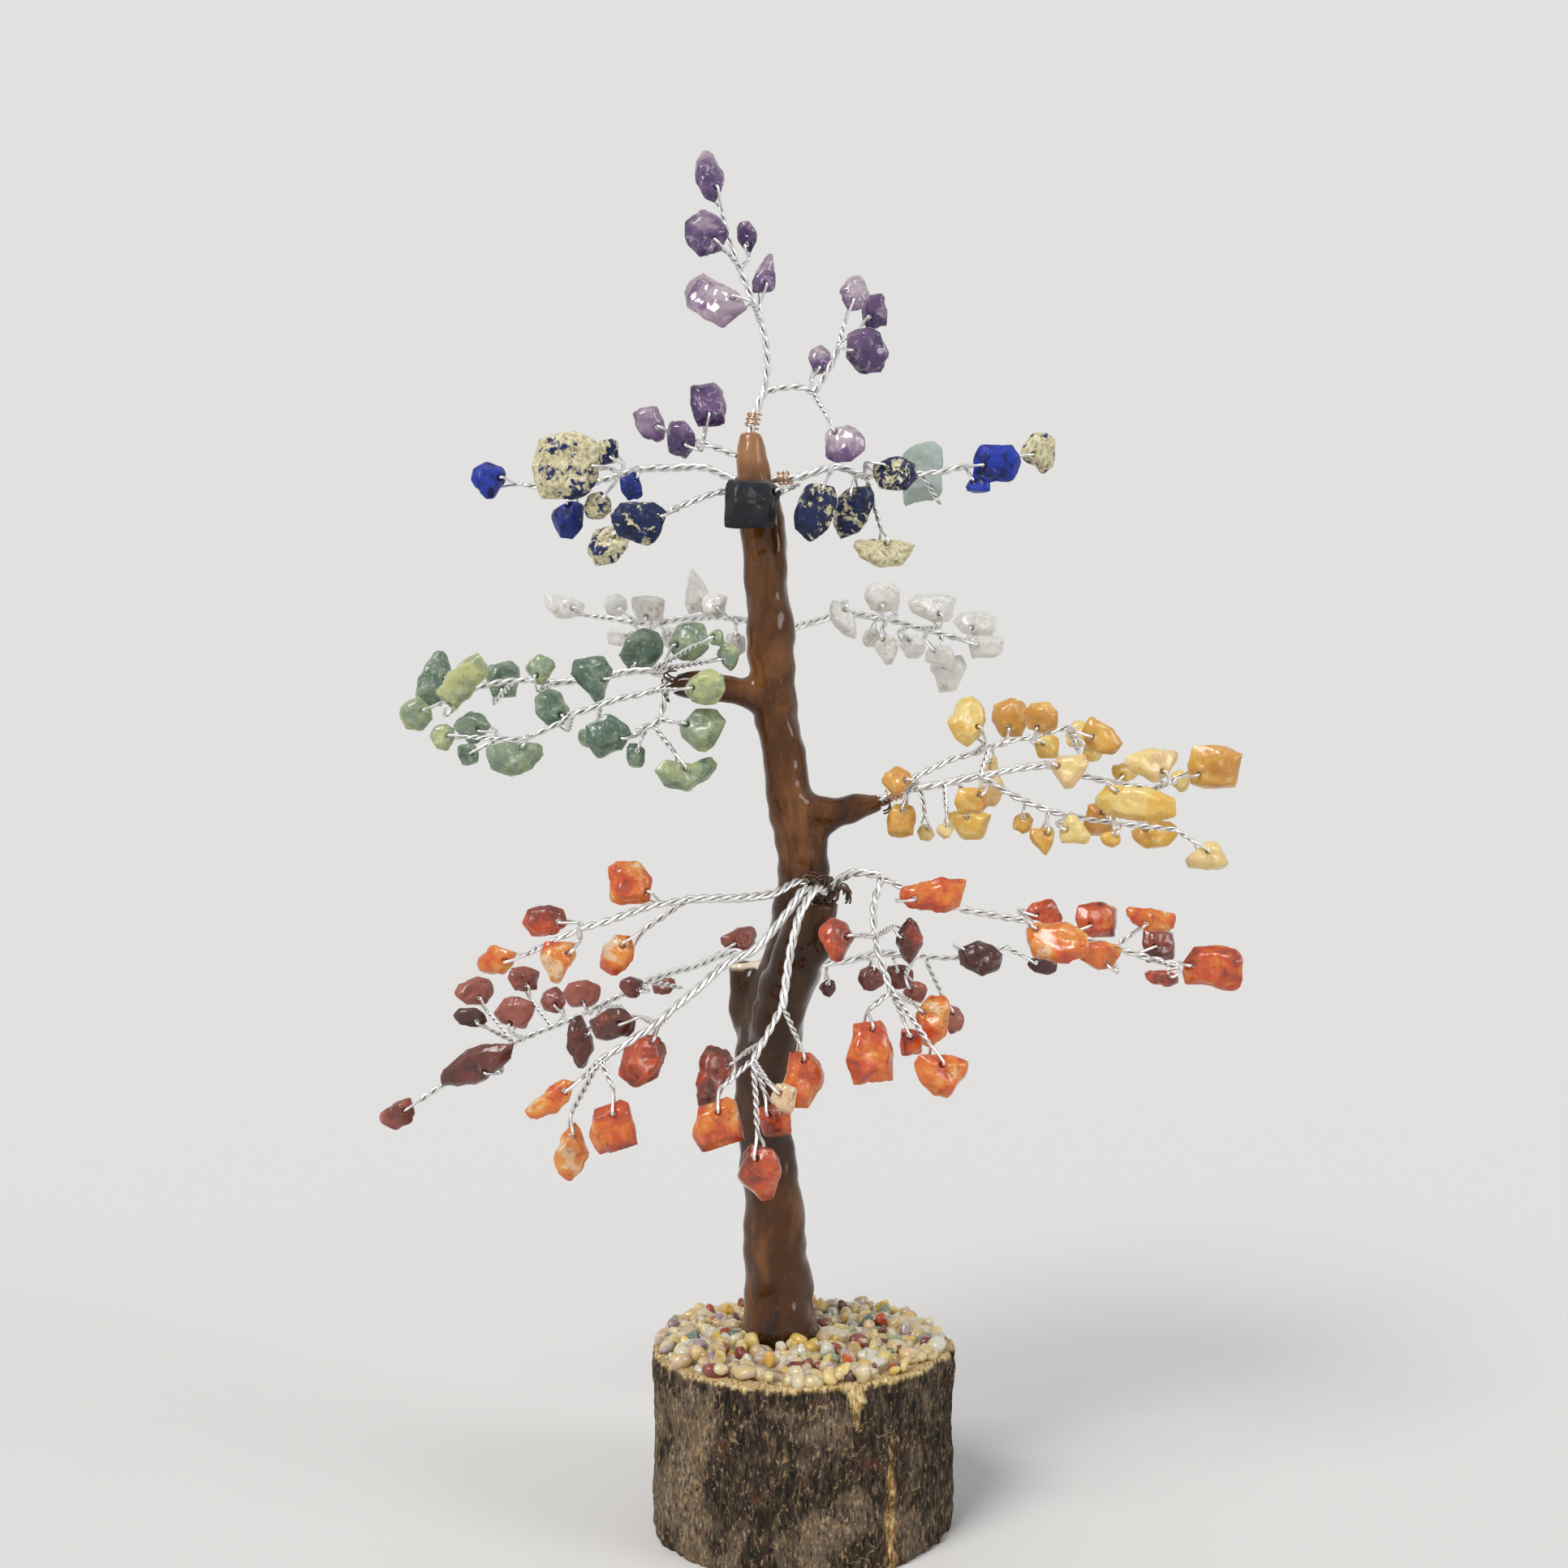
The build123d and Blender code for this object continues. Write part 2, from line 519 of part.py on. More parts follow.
# Green quartz on the long left stub, in two tiers
make_spray("green_quartz", roots_px=[
    (1.4, [(823, 835, -4), (800, 826, 8), (764, 829, 24), (722, 839, 40), (684, 842, 50)]),
    (1.2, [(822, 844, -17), (802, 852, -22), (768, 860, -26), (732, 872, -28), (706, 880, -28)]),
    (1.2, [(821, 851, -9), (818, 870, -14), (812, 890, -18), (790, 898, -20)]),
], forks_px=[
    (1.2, [(675, 842, 53), (640, 838, 60), (606, 842, 62), (580, 850, 62)]),
    (1.0, [(700, 884, -28), (674, 900, -26), (646, 911, -22), (614, 910, -20)]),
], stones_px=[
    ((537, 830, 92), (46, 92), -15, wedge_shares, (574, 852, 66)),
    ((512, 880, 60), (44, 44), 0, oval_shares, (573, 853, 60)),
    ((570, 840, 22), (98, 42), 42, block_shares, (577, 852, 56)),
    ((619, 838, 104), (46, 50), 0, block_shares, (634, 840, 64)),
    ((667, 824, 22), (44, 44), 0, kite_shares, (680, 842, 48)),
    ((733, 836, -14), (58, 62), 190, wedge_shares, (760, 832, 22)),
    ((790, 800, 44), (66, 54), 15, oval_shares, (780, 827, 18)),
    ((850, 790, -6), (58, 56), 0, oval_shares, (802, 824, 6)),
    ((881, 784, -64), (24, 26), 0, oval_shares, (800, 822, 4)),
    ((899, 808, -60), (34, 38), 10, kite_shares, (799, 824, 2)),
    ((869, 846, -66), (58, 48), 0, oval_shares, (800, 853, -26)),
    ((680, 873, 14), (46, 54), 20, oval_shares, (706, 878, -24)),
    ((722, 908, 16), (26, 28), 0, oval_shares, (742, 872, -28)),
    ((747, 906, -56), (60, 54), 20, oval_shares, (790, 897, -22)),
    ((782, 932, 4), (32, 40), 20, leaf_shares, (798, 898, -18)),
    ((866, 900, -44), (66, 60), 15, kite_shares, (815, 886, -20)),
    ((845, 955, -34), (90, 48), 5, heart_shares, (806, 896, -22)),
    ((583, 896, 24), (54, 45), 0, kite_shares, (610, 909, -16)),
    ((545, 908, -30), (36, 36), 0, oval_shares, (606, 910, -20)),
    ((632, 934, -56), (84, 44), 8, moon_shares, (650, 911, -24)),
    ((577, 930, 2), (34, 30), 0, block_shares, (608, 912, -18)),
])

# Yellow quartz on the right stub, in three tiers
make_spray("yellow_quartz", roots_px=[
    (1.4, [(1091, 982, -3), (1120, 973, -10), (1160, 965, -14), (1204, 957, -16),
           (1246, 948, -16), (1288, 943, -14)]),
    (1.2, [(1092, 988, 8), (1110, 970, 24), (1134, 954, 34), (1166, 937, 42),
           (1205, 925, 46), (1240, 914, 46)]),
], forks_px=[
    (1.2, [(1298, 944, -12), (1338, 956, -4), (1380, 966, 4), (1424, 972, 8)]),
    (1.0, [(1250, 912, 47), (1282, 905, 48), (1316, 896, 48)]),
    (1.2, [(1211, 960, -24), (1238, 974, -32), (1264, 988, -36), (1292, 1000, -38), (1322, 1005, -36)]),
    (1.0, [(1331, 1008, -34), (1372, 1014, -22), (1410, 1018, -14), (1448, 1022, -8)]),
], stones_px=[
    ((1192, 888, 20), (52, 76), -8, leaf_shares, (1204, 922, 44)),
    ((1244, 884, 74), (50, 52), 10, oval_shares, (1243, 913, 50)),
    ((1283, 884, 12), (50, 44), -15, oval_shares, (1280, 906, 44)),
    ((1290, 920, 84), (38, 32), 0, block_shares, (1286, 906, 52)),
    ((1326, 904, 92), (34, 38), 0, oval_shares, (1318, 896, 54)),
    ((1355, 910, 18), (62, 42), -38, moon_shares, (1322, 895, 46)),
    ((1346, 926, 66), (30, 28), 0, block_shares, (1322, 898, 50)),
    ((1318, 951, -58), (52, 48), 180, wedge_shares, (1294, 944, -18)),
    ((1420, 942, -28), (82, 46), 10, moon_shares, (1422, 970, 4)),
    ((1498, 945, 22), (74, 60), 0, block_shares, (1430, 971, 8)),
    ((1455, 962, 54), (32, 32), 0, kite_shares, (1430, 973, 12)),
    ((1384, 952, 46), (40, 28), 0, oval_shares, (1382, 966, 8)),
    ((1397, 990, -62), (112, 48), -8, oval_shares, (1384, 968, -2)),
    ((1355, 1009, 20), (48, 46), 0, block_shares, (1368, 1012, -18)),
    ((1368, 1034, -66), (30, 24), 0, oval_shares, (1372, 1016, -26)),
    ((1423, 1030, 26), (68, 44), 10, kite_shares, (1412, 1018, -10)),
    ((1490, 1054, -6), (70, 40), -8, wedge_shares, (1452, 1024, -8)),
    ((1322, 1022, -80), (44, 42), 0, wedge_shares, (1324, 1006, -42)),
    ((1260, 1013, -10), (28, 30), -25, oval_shares, (1264, 989, -32)),
    ((1284, 1037, -48), (38, 38), 180, wedge_shares, (1290, 1002, -40)),
    ((1222, 962, 30), (38, 78), -8, wedge_shares, (1205, 954, -6)),
    ((1196, 986, -56), (50, 38), 0, oval_shares, (1206, 960, -20)),
    ((1106, 963, -50), (42, 42), 0, kite_shares, (1114, 976, -14)),
    ((1111, 1011, -34), (40, 50), 0, block_shares, (1124, 974, -16)),
    ((1141, 1025, -6), (28, 26), 0, oval_shares, (1134, 972, -10)),
    ((1195, 1016, 2), (64, 40), 0, moon_shares, (1180, 964, -12)),
    ((1165, 1024, -58), (26, 26), 0, kite_shares, (1164, 968, -20)),
])

# Carnelian, left: out of the tip of the front stub
make_spray("carnelian_left", roots_px=[
    (1.4, [(1000, 1090, -74), (984, 1085, -86), (952, 1103, -112), (905, 1107, -136), (854, 1108, -150)]),
], forks_px=[
    (1.2, [(842, 1109, -154), (806, 1115, -166), (768, 1128, -178), (722, 1142, -190)]),
    (1.0, [(713, 1145, -192), (690, 1156, -196), (664, 1168, -200)]),
    (1.0, [(844, 1113, -148), (824, 1126, -142), (800, 1141, -136)]),
], stones_px=[
    ((776, 1090, -124), (72, 66), -38, kite_shares, (838, 1107, -148)),
    ((672, 1134, -156), (62, 42), 5, oval_shares, (718, 1143, -186)),
    ((613, 1183, -206), (66, 42), 22, leaf_shares, (658, 1171, -200)),
    ((684, 1186, -236), (50, 56), 170, wedge_shares, (714, 1147, -196)),
    ((761, 1176, -134), (46, 58), -25, oval_shares, (794, 1144, -134)),
])

# Carnelian, low left: a drooping spray whose lowest chips hang free
make_spray("carnelian_low", roots_px=[
    (1.4, [(1003, 1099, -94), (992, 1091, -114), (968, 1132, -128), (934, 1166, -140),
           (886, 1194, -158), (838, 1236, -182)]),
], forks_px=[
    (1.2, [(829, 1243, -188), (802, 1266, -198), (770, 1288, -206), (740, 1306, -212)]),
], stones_px=[
    ((792, 1304, -162), (58, 74), -30, oval_shares, (828, 1247, -180)),
    ((680, 1356, -238), (78, 34), 42, moon_shares, (733, 1312, -216)),
    ((750, 1262, -150), (68, 40), 22, oval_shares, (806, 1262, -192)),
], pendants_px=[
    ("carnelian_pendant_leaf", ((704, 1420, -196), (46, 80), -8, leaf_shares, (734, 1313, -210))),
    ("carnelian_pendant_left", ((756, 1388, -226), (60, 64), 15, block_shares, (738, 1312, -216))),
])

# Carnelian, front: the spray that hangs before the trunk
make_spray("carnelian_front", roots_px=[
    (1.4, [(1015, 1098, -98), (1006, 1092, -118), (984, 1128, -142), (973, 1168, -152),
           (969, 1206, -158), (965, 1236, -166)]),
], forks_px=[
    (1.2, [(959, 1246, -172), (944, 1276, -182), (928, 1306, -192)]),
], stones_px=[
    ((879, 1326, -162), (46, 88), -22, moon_shares, (936, 1286, -182)),
    ((967, 1352, -228), (34, 42), 0, oval_shares, (928, 1312, -198)),
    ((953, 1380, -180), (48, 44), 10, block_shares, (928, 1316, -190)),
], pendants_px=[
    ("carnelian_pendant_orange", ((988, 1330, -158), (56, 80), -14, moon_shares, (967, 1243, -164))),
    ("carnelian_pendant_front", ((885, 1384, -214), (66, 62), 15, block_shares, (924, 1312, -198))),
    ("carnelian_pendant_low", ((937, 1442, -212), (62, 80), 8, kite_shares, (929, 1318, -200))),
])

# Carnelian, right: one long stem outwards and one that hangs
make_spray("carnelian_right", roots_px=[
    (1.4, [(1018, 1103, -82), (1034, 1082, -94), (1056, 1073, -108), (1080, 1078, -118)]),
], forks_px=[
    (1.2, [(1089, 1081, -119), (1124, 1098, -116), (1172, 1117, -110),
           (1222, 1127, -102), (1262, 1134, -96)]),
    (1.2, [(1271, 1137, -94), (1312, 1150, -88), (1362, 1164, -82), (1412, 1180, -78), (1448, 1188, -78)]),
    (1.2, [(1082, 1088, -122), (1076, 1116, -130), (1077, 1156, -138),
           (1086, 1190, -146), (1099, 1222, -154)]),
], stones_px=[
    ((1028, 1158, -166), (50, 58), 0, kite_shares, (1076, 1152, -140)),
    ((1155, 1103, -150), (94, 46), 10, moon_shares, (1132, 1102, -118)),
    ((1121, 1158, -98), (38, 66), -5, leaf_shares, (1078, 1158, -134)),
    ((1159, 1326, -188), (90, 56), 172, wedge_shares, (1102, 1230, -158)),
    ((1149, 1256, -112), (46, 72), -18, oval_shares, (1102, 1224, -150)),
    ((1124, 1284, -146), (34, 38), 0, block_shares, (1101, 1228, -154)),
    ((1286, 1128, -44), (58, 42), 0, oval_shares, (1268, 1135, -90)),
    ((1300, 1160, -134), (94, 52), -6, oval_shares, (1274, 1139, -98)),
    ((1350, 1134, -36), (60, 46), 0, block_shares, (1330, 1154, -84)),
    ((1356, 1176, -130), (62, 40), 0, moon_shares, (1366, 1166, -86)),
    ((1419, 1133, -88), (78, 30), -8, moon_shares, (1372, 1166, -78)),
    ((1427, 1164, -34), (50, 46), 0, block_shares, (1400, 1177, -74)),
    ((1498, 1192, -76), (84, 56), -8, block_shares, (1452, 1189, -78)),
    ((1430, 1204, -116), (56, 22), -8, oval_shares, (1416, 1182, -82)),
], pendants_px=[
    ("carnelian_pendant_right", ((1072, 1296, -176), (62, 84), 2, block_shares, (1099, 1232, -160))),
])

# Red jasper, left: behind the carnelian, out of the back stub
make_spray("jasper_left", roots_px=[
    (1.4, [(914, 1175, 22), (903, 1171, 36), (862, 1189, 66), (826, 1198, 90), (800, 1208, 106)]),
], forks_px=[
    (1.2, [(793, 1212, 109), (762, 1229, 126), (724, 1248, 146), (684, 1264, 166), (640, 1282, 184)]),
    (1.2, [(631, 1286, 187), (592, 1307, 196), (552, 1332, 204), (524, 1352, 210)]),
], stones_px=[
    ((585, 1222, 226), (55, 38), 10, oval_shares, (634, 1282, 190)),
    ((580, 1253, 166), (48, 28), -5, oval_shares, (632, 1286, 180)),
    ((634, 1247, 140), (62, 46), 0, oval_shares, (644, 1280, 178)),
    ((645, 1206, 206), (44, 34), 0, block_shares, (680, 1262, 170)),
    ((682, 1232, 214), (38, 36), 0, oval_shares, (690, 1260, 168)),
    ((717, 1224, 110), (52, 40), 0, oval_shares, (726, 1246, 140)),
    ((779, 1216, 80), (38, 34), 0, kite_shares, (790, 1213, 106)),
    ((818, 1214, 144), (38, 28), 0, oval_shares, (804, 1207, 112)),
    ((714, 1284, 100), (38, 86), 8, leaf_shares, (740, 1240, 134)),
    ((586, 1312, 150), (122, 48), 26, leaf_shares, (612, 1297, 186)),
    ((490, 1374, 214), (60, 38), 30, oval_shares, (517, 1357, 211)),
    ((912, 1158, 82), (54, 38), 22, moon_shares, (868, 1187, 66)),
    ((766, 1262, 176), (46, 34), 0, oval_shares, (744, 1240, 142)),
])

# Red jasper, right: short, behind the trunk
make_spray("jasper_right", roots_px=[
    (1.4, [(989, 1188, 30), (1016, 1188, 56), (1050, 1183, 76), (1086, 1173, 92), (1128, 1178, 108)]),
], forks_px=[
    (1.0, [(1137, 1180, 110), (1172, 1182, 122), (1206, 1174, 132), (1240, 1167, 140)]),
], stones_px=[
    ((1072, 1206, 40), (36, 34), 0, oval_shares, (1064, 1180, 78)),
    ((1108, 1204, 142), (40, 34), 0, block_shares, (1100, 1176, 100)),
    ((1128, 1222, 66), (36, 32), 0, oval_shares, (1130, 1181, 106)),
    ((1173, 1256, 120), (34, 40), 20, oval_shares, (1140, 1184, 111)),
    ((1208, 1180, 84), (66, 46), -22, oval_shares, (1198, 1176, 128)),
    ((1284, 1190, 144), (42, 24), -8, oval_shares, (1244, 1168, 141)),
    ((1020, 1218, 70), (26, 28), 0, kite_shares, (1020, 1192, 58)),
])

# Copper binding wire wound where a spray leaves the trunk
binding_diameter = 0.35
binding_gap = 0.45
binding_turns = 3


def binding(around_px, toward_px, bundle):
    """An open winding round a stem, clear of it by a seat gap."""
    start = place(*around_px)
    axis = place(*toward_px) - start
    pitch = binding_diameter + binding_gap
    winding_radius = bundle * pair_diameter / 2 + seat_gap / 2 + binding_diameter / 2
    path = Helix(pitch, pitch * binding_turns, winding_radius)
    winding = sweep(Plane(path ^ 0) * Circle(binding_diameter / 2), path).solids()[0]
    return winding.moved(Plane(start, z_dir=axis).location)


nodes["crown_binding"] = [binding(around_px=(926, 527, 0), toward_px=(931, 505, 0), bundle=1.5)]
nodes["lapis_binding"] = [binding(around_px=(958, 590, -5), toward_px=(984, 588, -14), bundle=1.4)]
nodes["yellow_binding"] = [binding(around_px=(1094, 981, -4), toward_px=(1120, 973, -10), bundle=1.4)]

nodes["log_wood"] = [make_log_wood()]
nodes["log_bark"] = [make_log_bark()]
nodes["glue_bed"] = [make_glue_bed()]
nodes["trunk_coating"] = [make_trunk_coating()]
nodes["armature_bundle"] = [trunk_bundle(armature_diameter, seat_gap)] + stub_bundles(stub_core_diameter)
for mineral, stones in make_gravel().items():
    nodes["gravel_" + mineral] = stones

os.makedirs("parts", exist_ok=True)
for name, solids in nodes.items():
    save(name, solids)
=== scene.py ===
import json
import math
import random

import bmesh
import bpy
from mathutils import Matrix, Vector, kdtree, noise

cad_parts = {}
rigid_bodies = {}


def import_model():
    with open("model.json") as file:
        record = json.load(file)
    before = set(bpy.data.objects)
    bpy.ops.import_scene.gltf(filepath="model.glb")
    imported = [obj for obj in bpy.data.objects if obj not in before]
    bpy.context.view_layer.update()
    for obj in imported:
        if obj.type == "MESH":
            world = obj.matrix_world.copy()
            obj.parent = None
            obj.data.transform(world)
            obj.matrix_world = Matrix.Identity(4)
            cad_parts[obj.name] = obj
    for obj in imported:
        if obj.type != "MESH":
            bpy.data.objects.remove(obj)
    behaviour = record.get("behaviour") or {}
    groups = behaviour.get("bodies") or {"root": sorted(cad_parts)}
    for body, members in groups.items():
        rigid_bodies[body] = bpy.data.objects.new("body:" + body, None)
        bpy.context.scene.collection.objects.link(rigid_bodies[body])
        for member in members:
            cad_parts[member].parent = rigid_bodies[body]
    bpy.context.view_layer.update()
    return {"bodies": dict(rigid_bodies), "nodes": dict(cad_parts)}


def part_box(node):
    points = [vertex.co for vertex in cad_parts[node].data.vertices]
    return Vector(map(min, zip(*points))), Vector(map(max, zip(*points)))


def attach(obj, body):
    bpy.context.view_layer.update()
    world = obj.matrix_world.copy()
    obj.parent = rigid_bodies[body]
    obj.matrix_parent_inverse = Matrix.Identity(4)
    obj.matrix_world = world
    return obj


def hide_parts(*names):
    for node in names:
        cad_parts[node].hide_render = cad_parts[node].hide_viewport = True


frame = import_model()
nodes = frame["nodes"]
mm = 0.001

# Camera: level with the lower lapis sprays, straight in front, as the tree was photographed.
# A pixel of the photograph covers 0.134 mm at the trunk, and its middle is pixel 966, 966.
pixel = 0.134 * mm
eye_px = 2372
middle_px = 966
photo_px = 1932
log_middle_px = 986
log_top_px = 1654
wood_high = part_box("log_wood")[1]
camera_data = bpy.data.cameras.new("photo_camera")
camera_data.sensor_width = 36
camera_data.lens = camera_data.sensor_width * eye_px / photo_px
camera_data.clip_start = 0.02


def placed(name, data):
    """A new object in the scene, with this mesh, curve, light or camera."""
    thing = bpy.data.objects.new(name, data)
    bpy.context.scene.collection.objects.link(thing)
    return thing


camera = placed("photo_camera", camera_data)
camera_right = (middle_px - log_middle_px) * pixel
camera_height = wood_high.z + (log_top_px - middle_px) * pixel
camera.location = (camera_right, -eye_px * pixel, camera_height)
camera.rotation_euler = (math.radians(90), 0, 0)
bpy.context.scene.camera = camera


def photo_spot(place):
    """The pixel of the photograph at which a place on the tree shows."""
    away = place.y / pixel + eye_px
    across = middle_px + (place.x - camera.location.x) / pixel * eye_px / away
    down = middle_px - (place.z - camera.location.z) / pixel * eye_px / away
    return across, down


# Studio: a pale floor that the log stands on, a soft key from the upper left in front, a soft
# fill from the right, and an even pale surround that the stones and the wire also show.
floor_size = 6.0
floor_colour = (0.80, 0.795, 0.78)
surround_colour = (0.758, 0.752, 0.738, 1)
ambient_colour = (0.36, 0.36, 0.37, 1)
lamp_spread = math.radians(24)


class Paint:
    """A material that is being mixed: nodes are added by kind and joined by their sockets."""

    def __init__(self, name):
        self.material = bpy.data.materials.new(name)
        self.material.use_nodes = True
        self.tree = self.material.node_tree
        self.shader = self.tree.nodes["Principled BSDF"]
        self.place = self.add("ShaderNodeTexCoord").outputs["Object"]

    def add(self, kind, **settings):
        node = self.tree.nodes.new(kind)
        for key, value in settings.items():
            setattr(node, key, value)
        return node

    def feed(self, socket, value):
        """A number, a colour or another node's output, given to a socket."""
        if isinstance(value, tuple) and socket.type == "RGBA":
            socket.default_value = (*value, 1)
        elif isinstance(value, (int, float, tuple)):
            socket.default_value = value
        else:
            self.tree.links.new(value, socket)

    def fill(self, node, **values):
        """Values or outputs for the sockets of a node, by the sockets' names in lower case."""
        for name, value in values.items():
            self.feed(node.inputs[name.replace("_", " ").title().replace("Ior", "IOR")], value)

    def set(self, **values):
        self.fill(self.shader, **values)

    def stretched(self, scale):
        """The place on the object, drawn out along each axis."""
        mapping = self.add("ShaderNodeMapping")
        self.fill(mapping, scale=scale, vector=self.place)
        return mapping.outputs["Vector"]

    def noise(self, scale, detail=4, rough=0.55, at=None, warp=0):
        node = self.add("ShaderNodeTexNoise")
        self.fill(node, scale=scale, detail=detail, roughness=rough, distortion=warp)
        self.fill(node, vector=at or self.place)
        return node.outputs["Fac"]

    def cells(self, scale, feature="F1", at=None):
        node = self.add("ShaderNodeTexVoronoi", feature=feature)
        self.fill(node, scale=scale, vector=at or self.place)
        return node.outputs["Distance"]

    def given(self, name):
        """A value that the mesh carries at each point."""
        return self.add("ShaderNodeAttribute", attribute_name=name).outputs["Fac"]

    def ramp(self, value, stops, smooth=True):
        """Colours at given stops of a value, blended between them."""
        node = self.add("ShaderNodeValToRGB")
        node.color_ramp.interpolation = "EASE" if smooth else "LINEAR"
        while len(node.color_ramp.elements) < len(stops):
            node.color_ramp.elements.new(0.5)
        for element, (position, colour) in zip(node.color_ramp.elements, stops.items()):
            element.position = position
            element.color = (*colour, 1)
        self.fill(node, fac=value)
        return node.outputs["Color"]

    def mask(self, value, start, end, before=0, after=1, smooth=True):
        """A grey that goes from one strength to another while the value goes from start to end."""
        return self.ramp(value, {start: (before,) * 3, end: (after,) * 3}, smooth)

    def sums(self, kind, first, second):
        node = self.add("ShaderNodeMath", operation=kind)
        self.feed(node.inputs[0], first)
        self.feed(node.inputs[1], second)
        return node.outputs["Value"]

    def shift(self, place, by):
        """A place moved by a value along all three axes."""
        node = self.add("ShaderNodeVectorMath", operation="ADD")
        self.feed(node.inputs[0], place)
        self.feed(node.inputs[1], by)
        return node.outputs["Vector"]

    def blend(self, share, first, second):
        """The first colour, and as much of the second as the share says."""
        node = self.add("ShaderNodeMix", data_type="RGBA")
        self.feed(node.inputs[0], share)
        self.feed(node.inputs[6], first)
        self.feed(node.inputs[7], second)
        return node.outputs[2]

    def bump(self, height, distance, strength=1.0, over=None):
        node = self.add("ShaderNodeBump")
        self.fill(node, distance=distance, strength=strength, height=height)
        if over:
            self.fill(node, normal=over)
        self.set(normal=node.outputs["Normal"])
        return node.outputs["Normal"]


def mesh_of(bm, name):
    """A bmesh made a mesh. The bmesh goes."""
    mesh = bpy.data.meshes.new(name)
    bm.to_mesh(mesh)
    bm.free()
    return mesh


def make_floor():
    paint = Paint("pale_floor")
    paint.set(base_color=floor_colour, roughness=0.8)
    bm = bmesh.new()
    bmesh.ops.create_grid(bm, x_segments=2, y_segments=2, size=floor_size / 2)
    mesh = mesh_of(bm, "floor")
    mesh.materials.append(paint.material)
    placed("floor", mesh)


def soft_lamp(name, toward_lamp, strength, colour):
    """A wide, even light from far away, whose shadows have soft edges."""
    light = bpy.data.lights.new(name, "SUN")
    light.energy = strength
    light.angle = lamp_spread
    light.color = colour
    placed(name, light).rotation_euler = Vector(toward_lamp).to_track_quat("Z", "Y").to_euler()


def make_surround():
    """The pale surround seen by the camera and in metal and glass, and a plain ambient light."""
    world = bpy.data.worlds.new("studio")
    world.use_nodes = True
    tree = world.node_tree
    join = tree.links.new
    ambient = tree.nodes["Background"]
    ambient.inputs["Color"].default_value = ambient_colour
    seen = tree.nodes.new("ShaderNodeBackground")
    seen.inputs["Color"].default_value = surround_colour
    path = tree.nodes.new("ShaderNodeLightPath")
    ray = path.outputs["Is Camera Ray"]
    for kind in ("Is Glossy Ray", "Is Transmission Ray"):
        either = tree.nodes.new("ShaderNodeMath")
        either.operation = "MAXIMUM"
        join(ray, either.inputs[0])
        join(path.outputs[kind], either.inputs[1])
        ray = either.outputs["Value"]
    mix = tree.nodes.new("ShaderNodeMixShader")
    join(ray, mix.inputs["Fac"])
    join(ambient.outputs["Background"], mix.inputs[1])
    join(seen.outputs["Background"], mix.inputs[2])
    join(mix.outputs["Shader"], tree.nodes["World Output"].inputs["Surface"])
    bpy.context.scene.world = world


make_floor()
soft_lamp("key", (-0.55, -0.8, 1.0), 2.1, (1, 0.985, 0.96))
soft_lamp("fill", (0.9, -0.5, 0.5), 0.7, (0.96, 0.98, 1))
make_surround()
bpy.context.scene.view_settings.view_transform = "Standard"

# Sawn log: the pale end grain that shows as a rim round the gravel and in the bare V on the
# side, with rings, saw marks and torn fibres. It carries the socket that the trunk stands in.


def paint_sawn_wood():
    paint = Paint("sawn_wood")
    rings = paint.add("ShaderNodeTexWave", wave_type="RINGS", rings_direction="Z")
    paint.fill(rings, scale=260, distortion=3.5, detail=3, detail_scale=1.5, vector=paint.place)
    grains = paint.noise(1500, 5, 0.7)
    stains = paint.noise(190, 4)
    ringed = paint.ramp(rings.outputs["Fac"], {0.2: (0.58, 0.41, 0.20), 0.75: (0.80, 0.64, 0.40)})
    torn = paint.ramp(grains, {
        0.36: (0.30, 0.17, 0.06), 0.48: (0.76, 0.54, 0.23), 0.62: (0.95, 0.82, 0.52)})
    mixed = paint.blend(0.62, ringed, torn)
    stained = paint.blend(paint.mask(stains, 0.5, 0.68, after=0.55), mixed, (0.40, 0.27, 0.13))
    paint.set(base_color=stained, roughness=0.82)
    paint.bump(grains, 0.6 * mm, 1.0)
    return paint.material


def finish_mesh(bm, name, body, slot, material, *replaced):
    """A bmesh made a piece of the tree, in its place at the origin."""
    mesh = mesh_of(bm, name)
    mesh.materials.append(material)
    mesh.polygons.foreach_set("use_smooth", [True] * len(mesh.polygons))
    piece = placed(name, mesh)
    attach(piece, body)
    if replaced:
        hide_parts(*replaced)


wood_radius = wood_high.x
rim_steps = 14
rim_step = 0.35 * mm
rim_sides = 240
torn_band = 5 * mm
torn_height = 0.40 * mm
torn_fibre_height = 0.30 * mm


def only(parts, kind):
    """The parts of one kind, such as the vertices, out of a mixed list."""
    return [part for part in parts if isinstance(part, kind)]


def make_sawn_log():
    """A disc whose top is torn up in small fibres towards its edge."""
    bm = bmesh.new()
    bmesh.ops.create_circle(bm, cap_ends=True, segments=rim_sides, radius=wood_radius)
    top = bmesh.ops.extrude_face_region(bm, geom=bm.faces[:])["geom"]
    bmesh.ops.translate(bm, verts=only(top, bmesh.types.BMVert), vec=(0, 0, wood_high.z))
    cap = only(top, bmesh.types.BMFace)
    for step in range(rim_steps):
        bmesh.ops.inset_region(bm, faces=cap, thickness=rim_step)
    for vert in bm.verts:
        outward = math.hypot(vert.co.x, vert.co.y)
        if vert.co.z > wood_high.z - mm and outward > wood_radius - torn_band:
            spot = Vector((vert.co.x, vert.co.y, 0)) * 900
            vert.co.z += torn_height * noise.noise(spot) + torn_fibre_height * noise.noise(spot * 2.7)
    bmesh.ops.recalc_face_normals(bm, faces=bm.faces[:])
    finish_mesh(bm, "sawn_log", "stand", "sawn_wood", paint_sawn_wood(), "log_wood")


make_sawn_log()

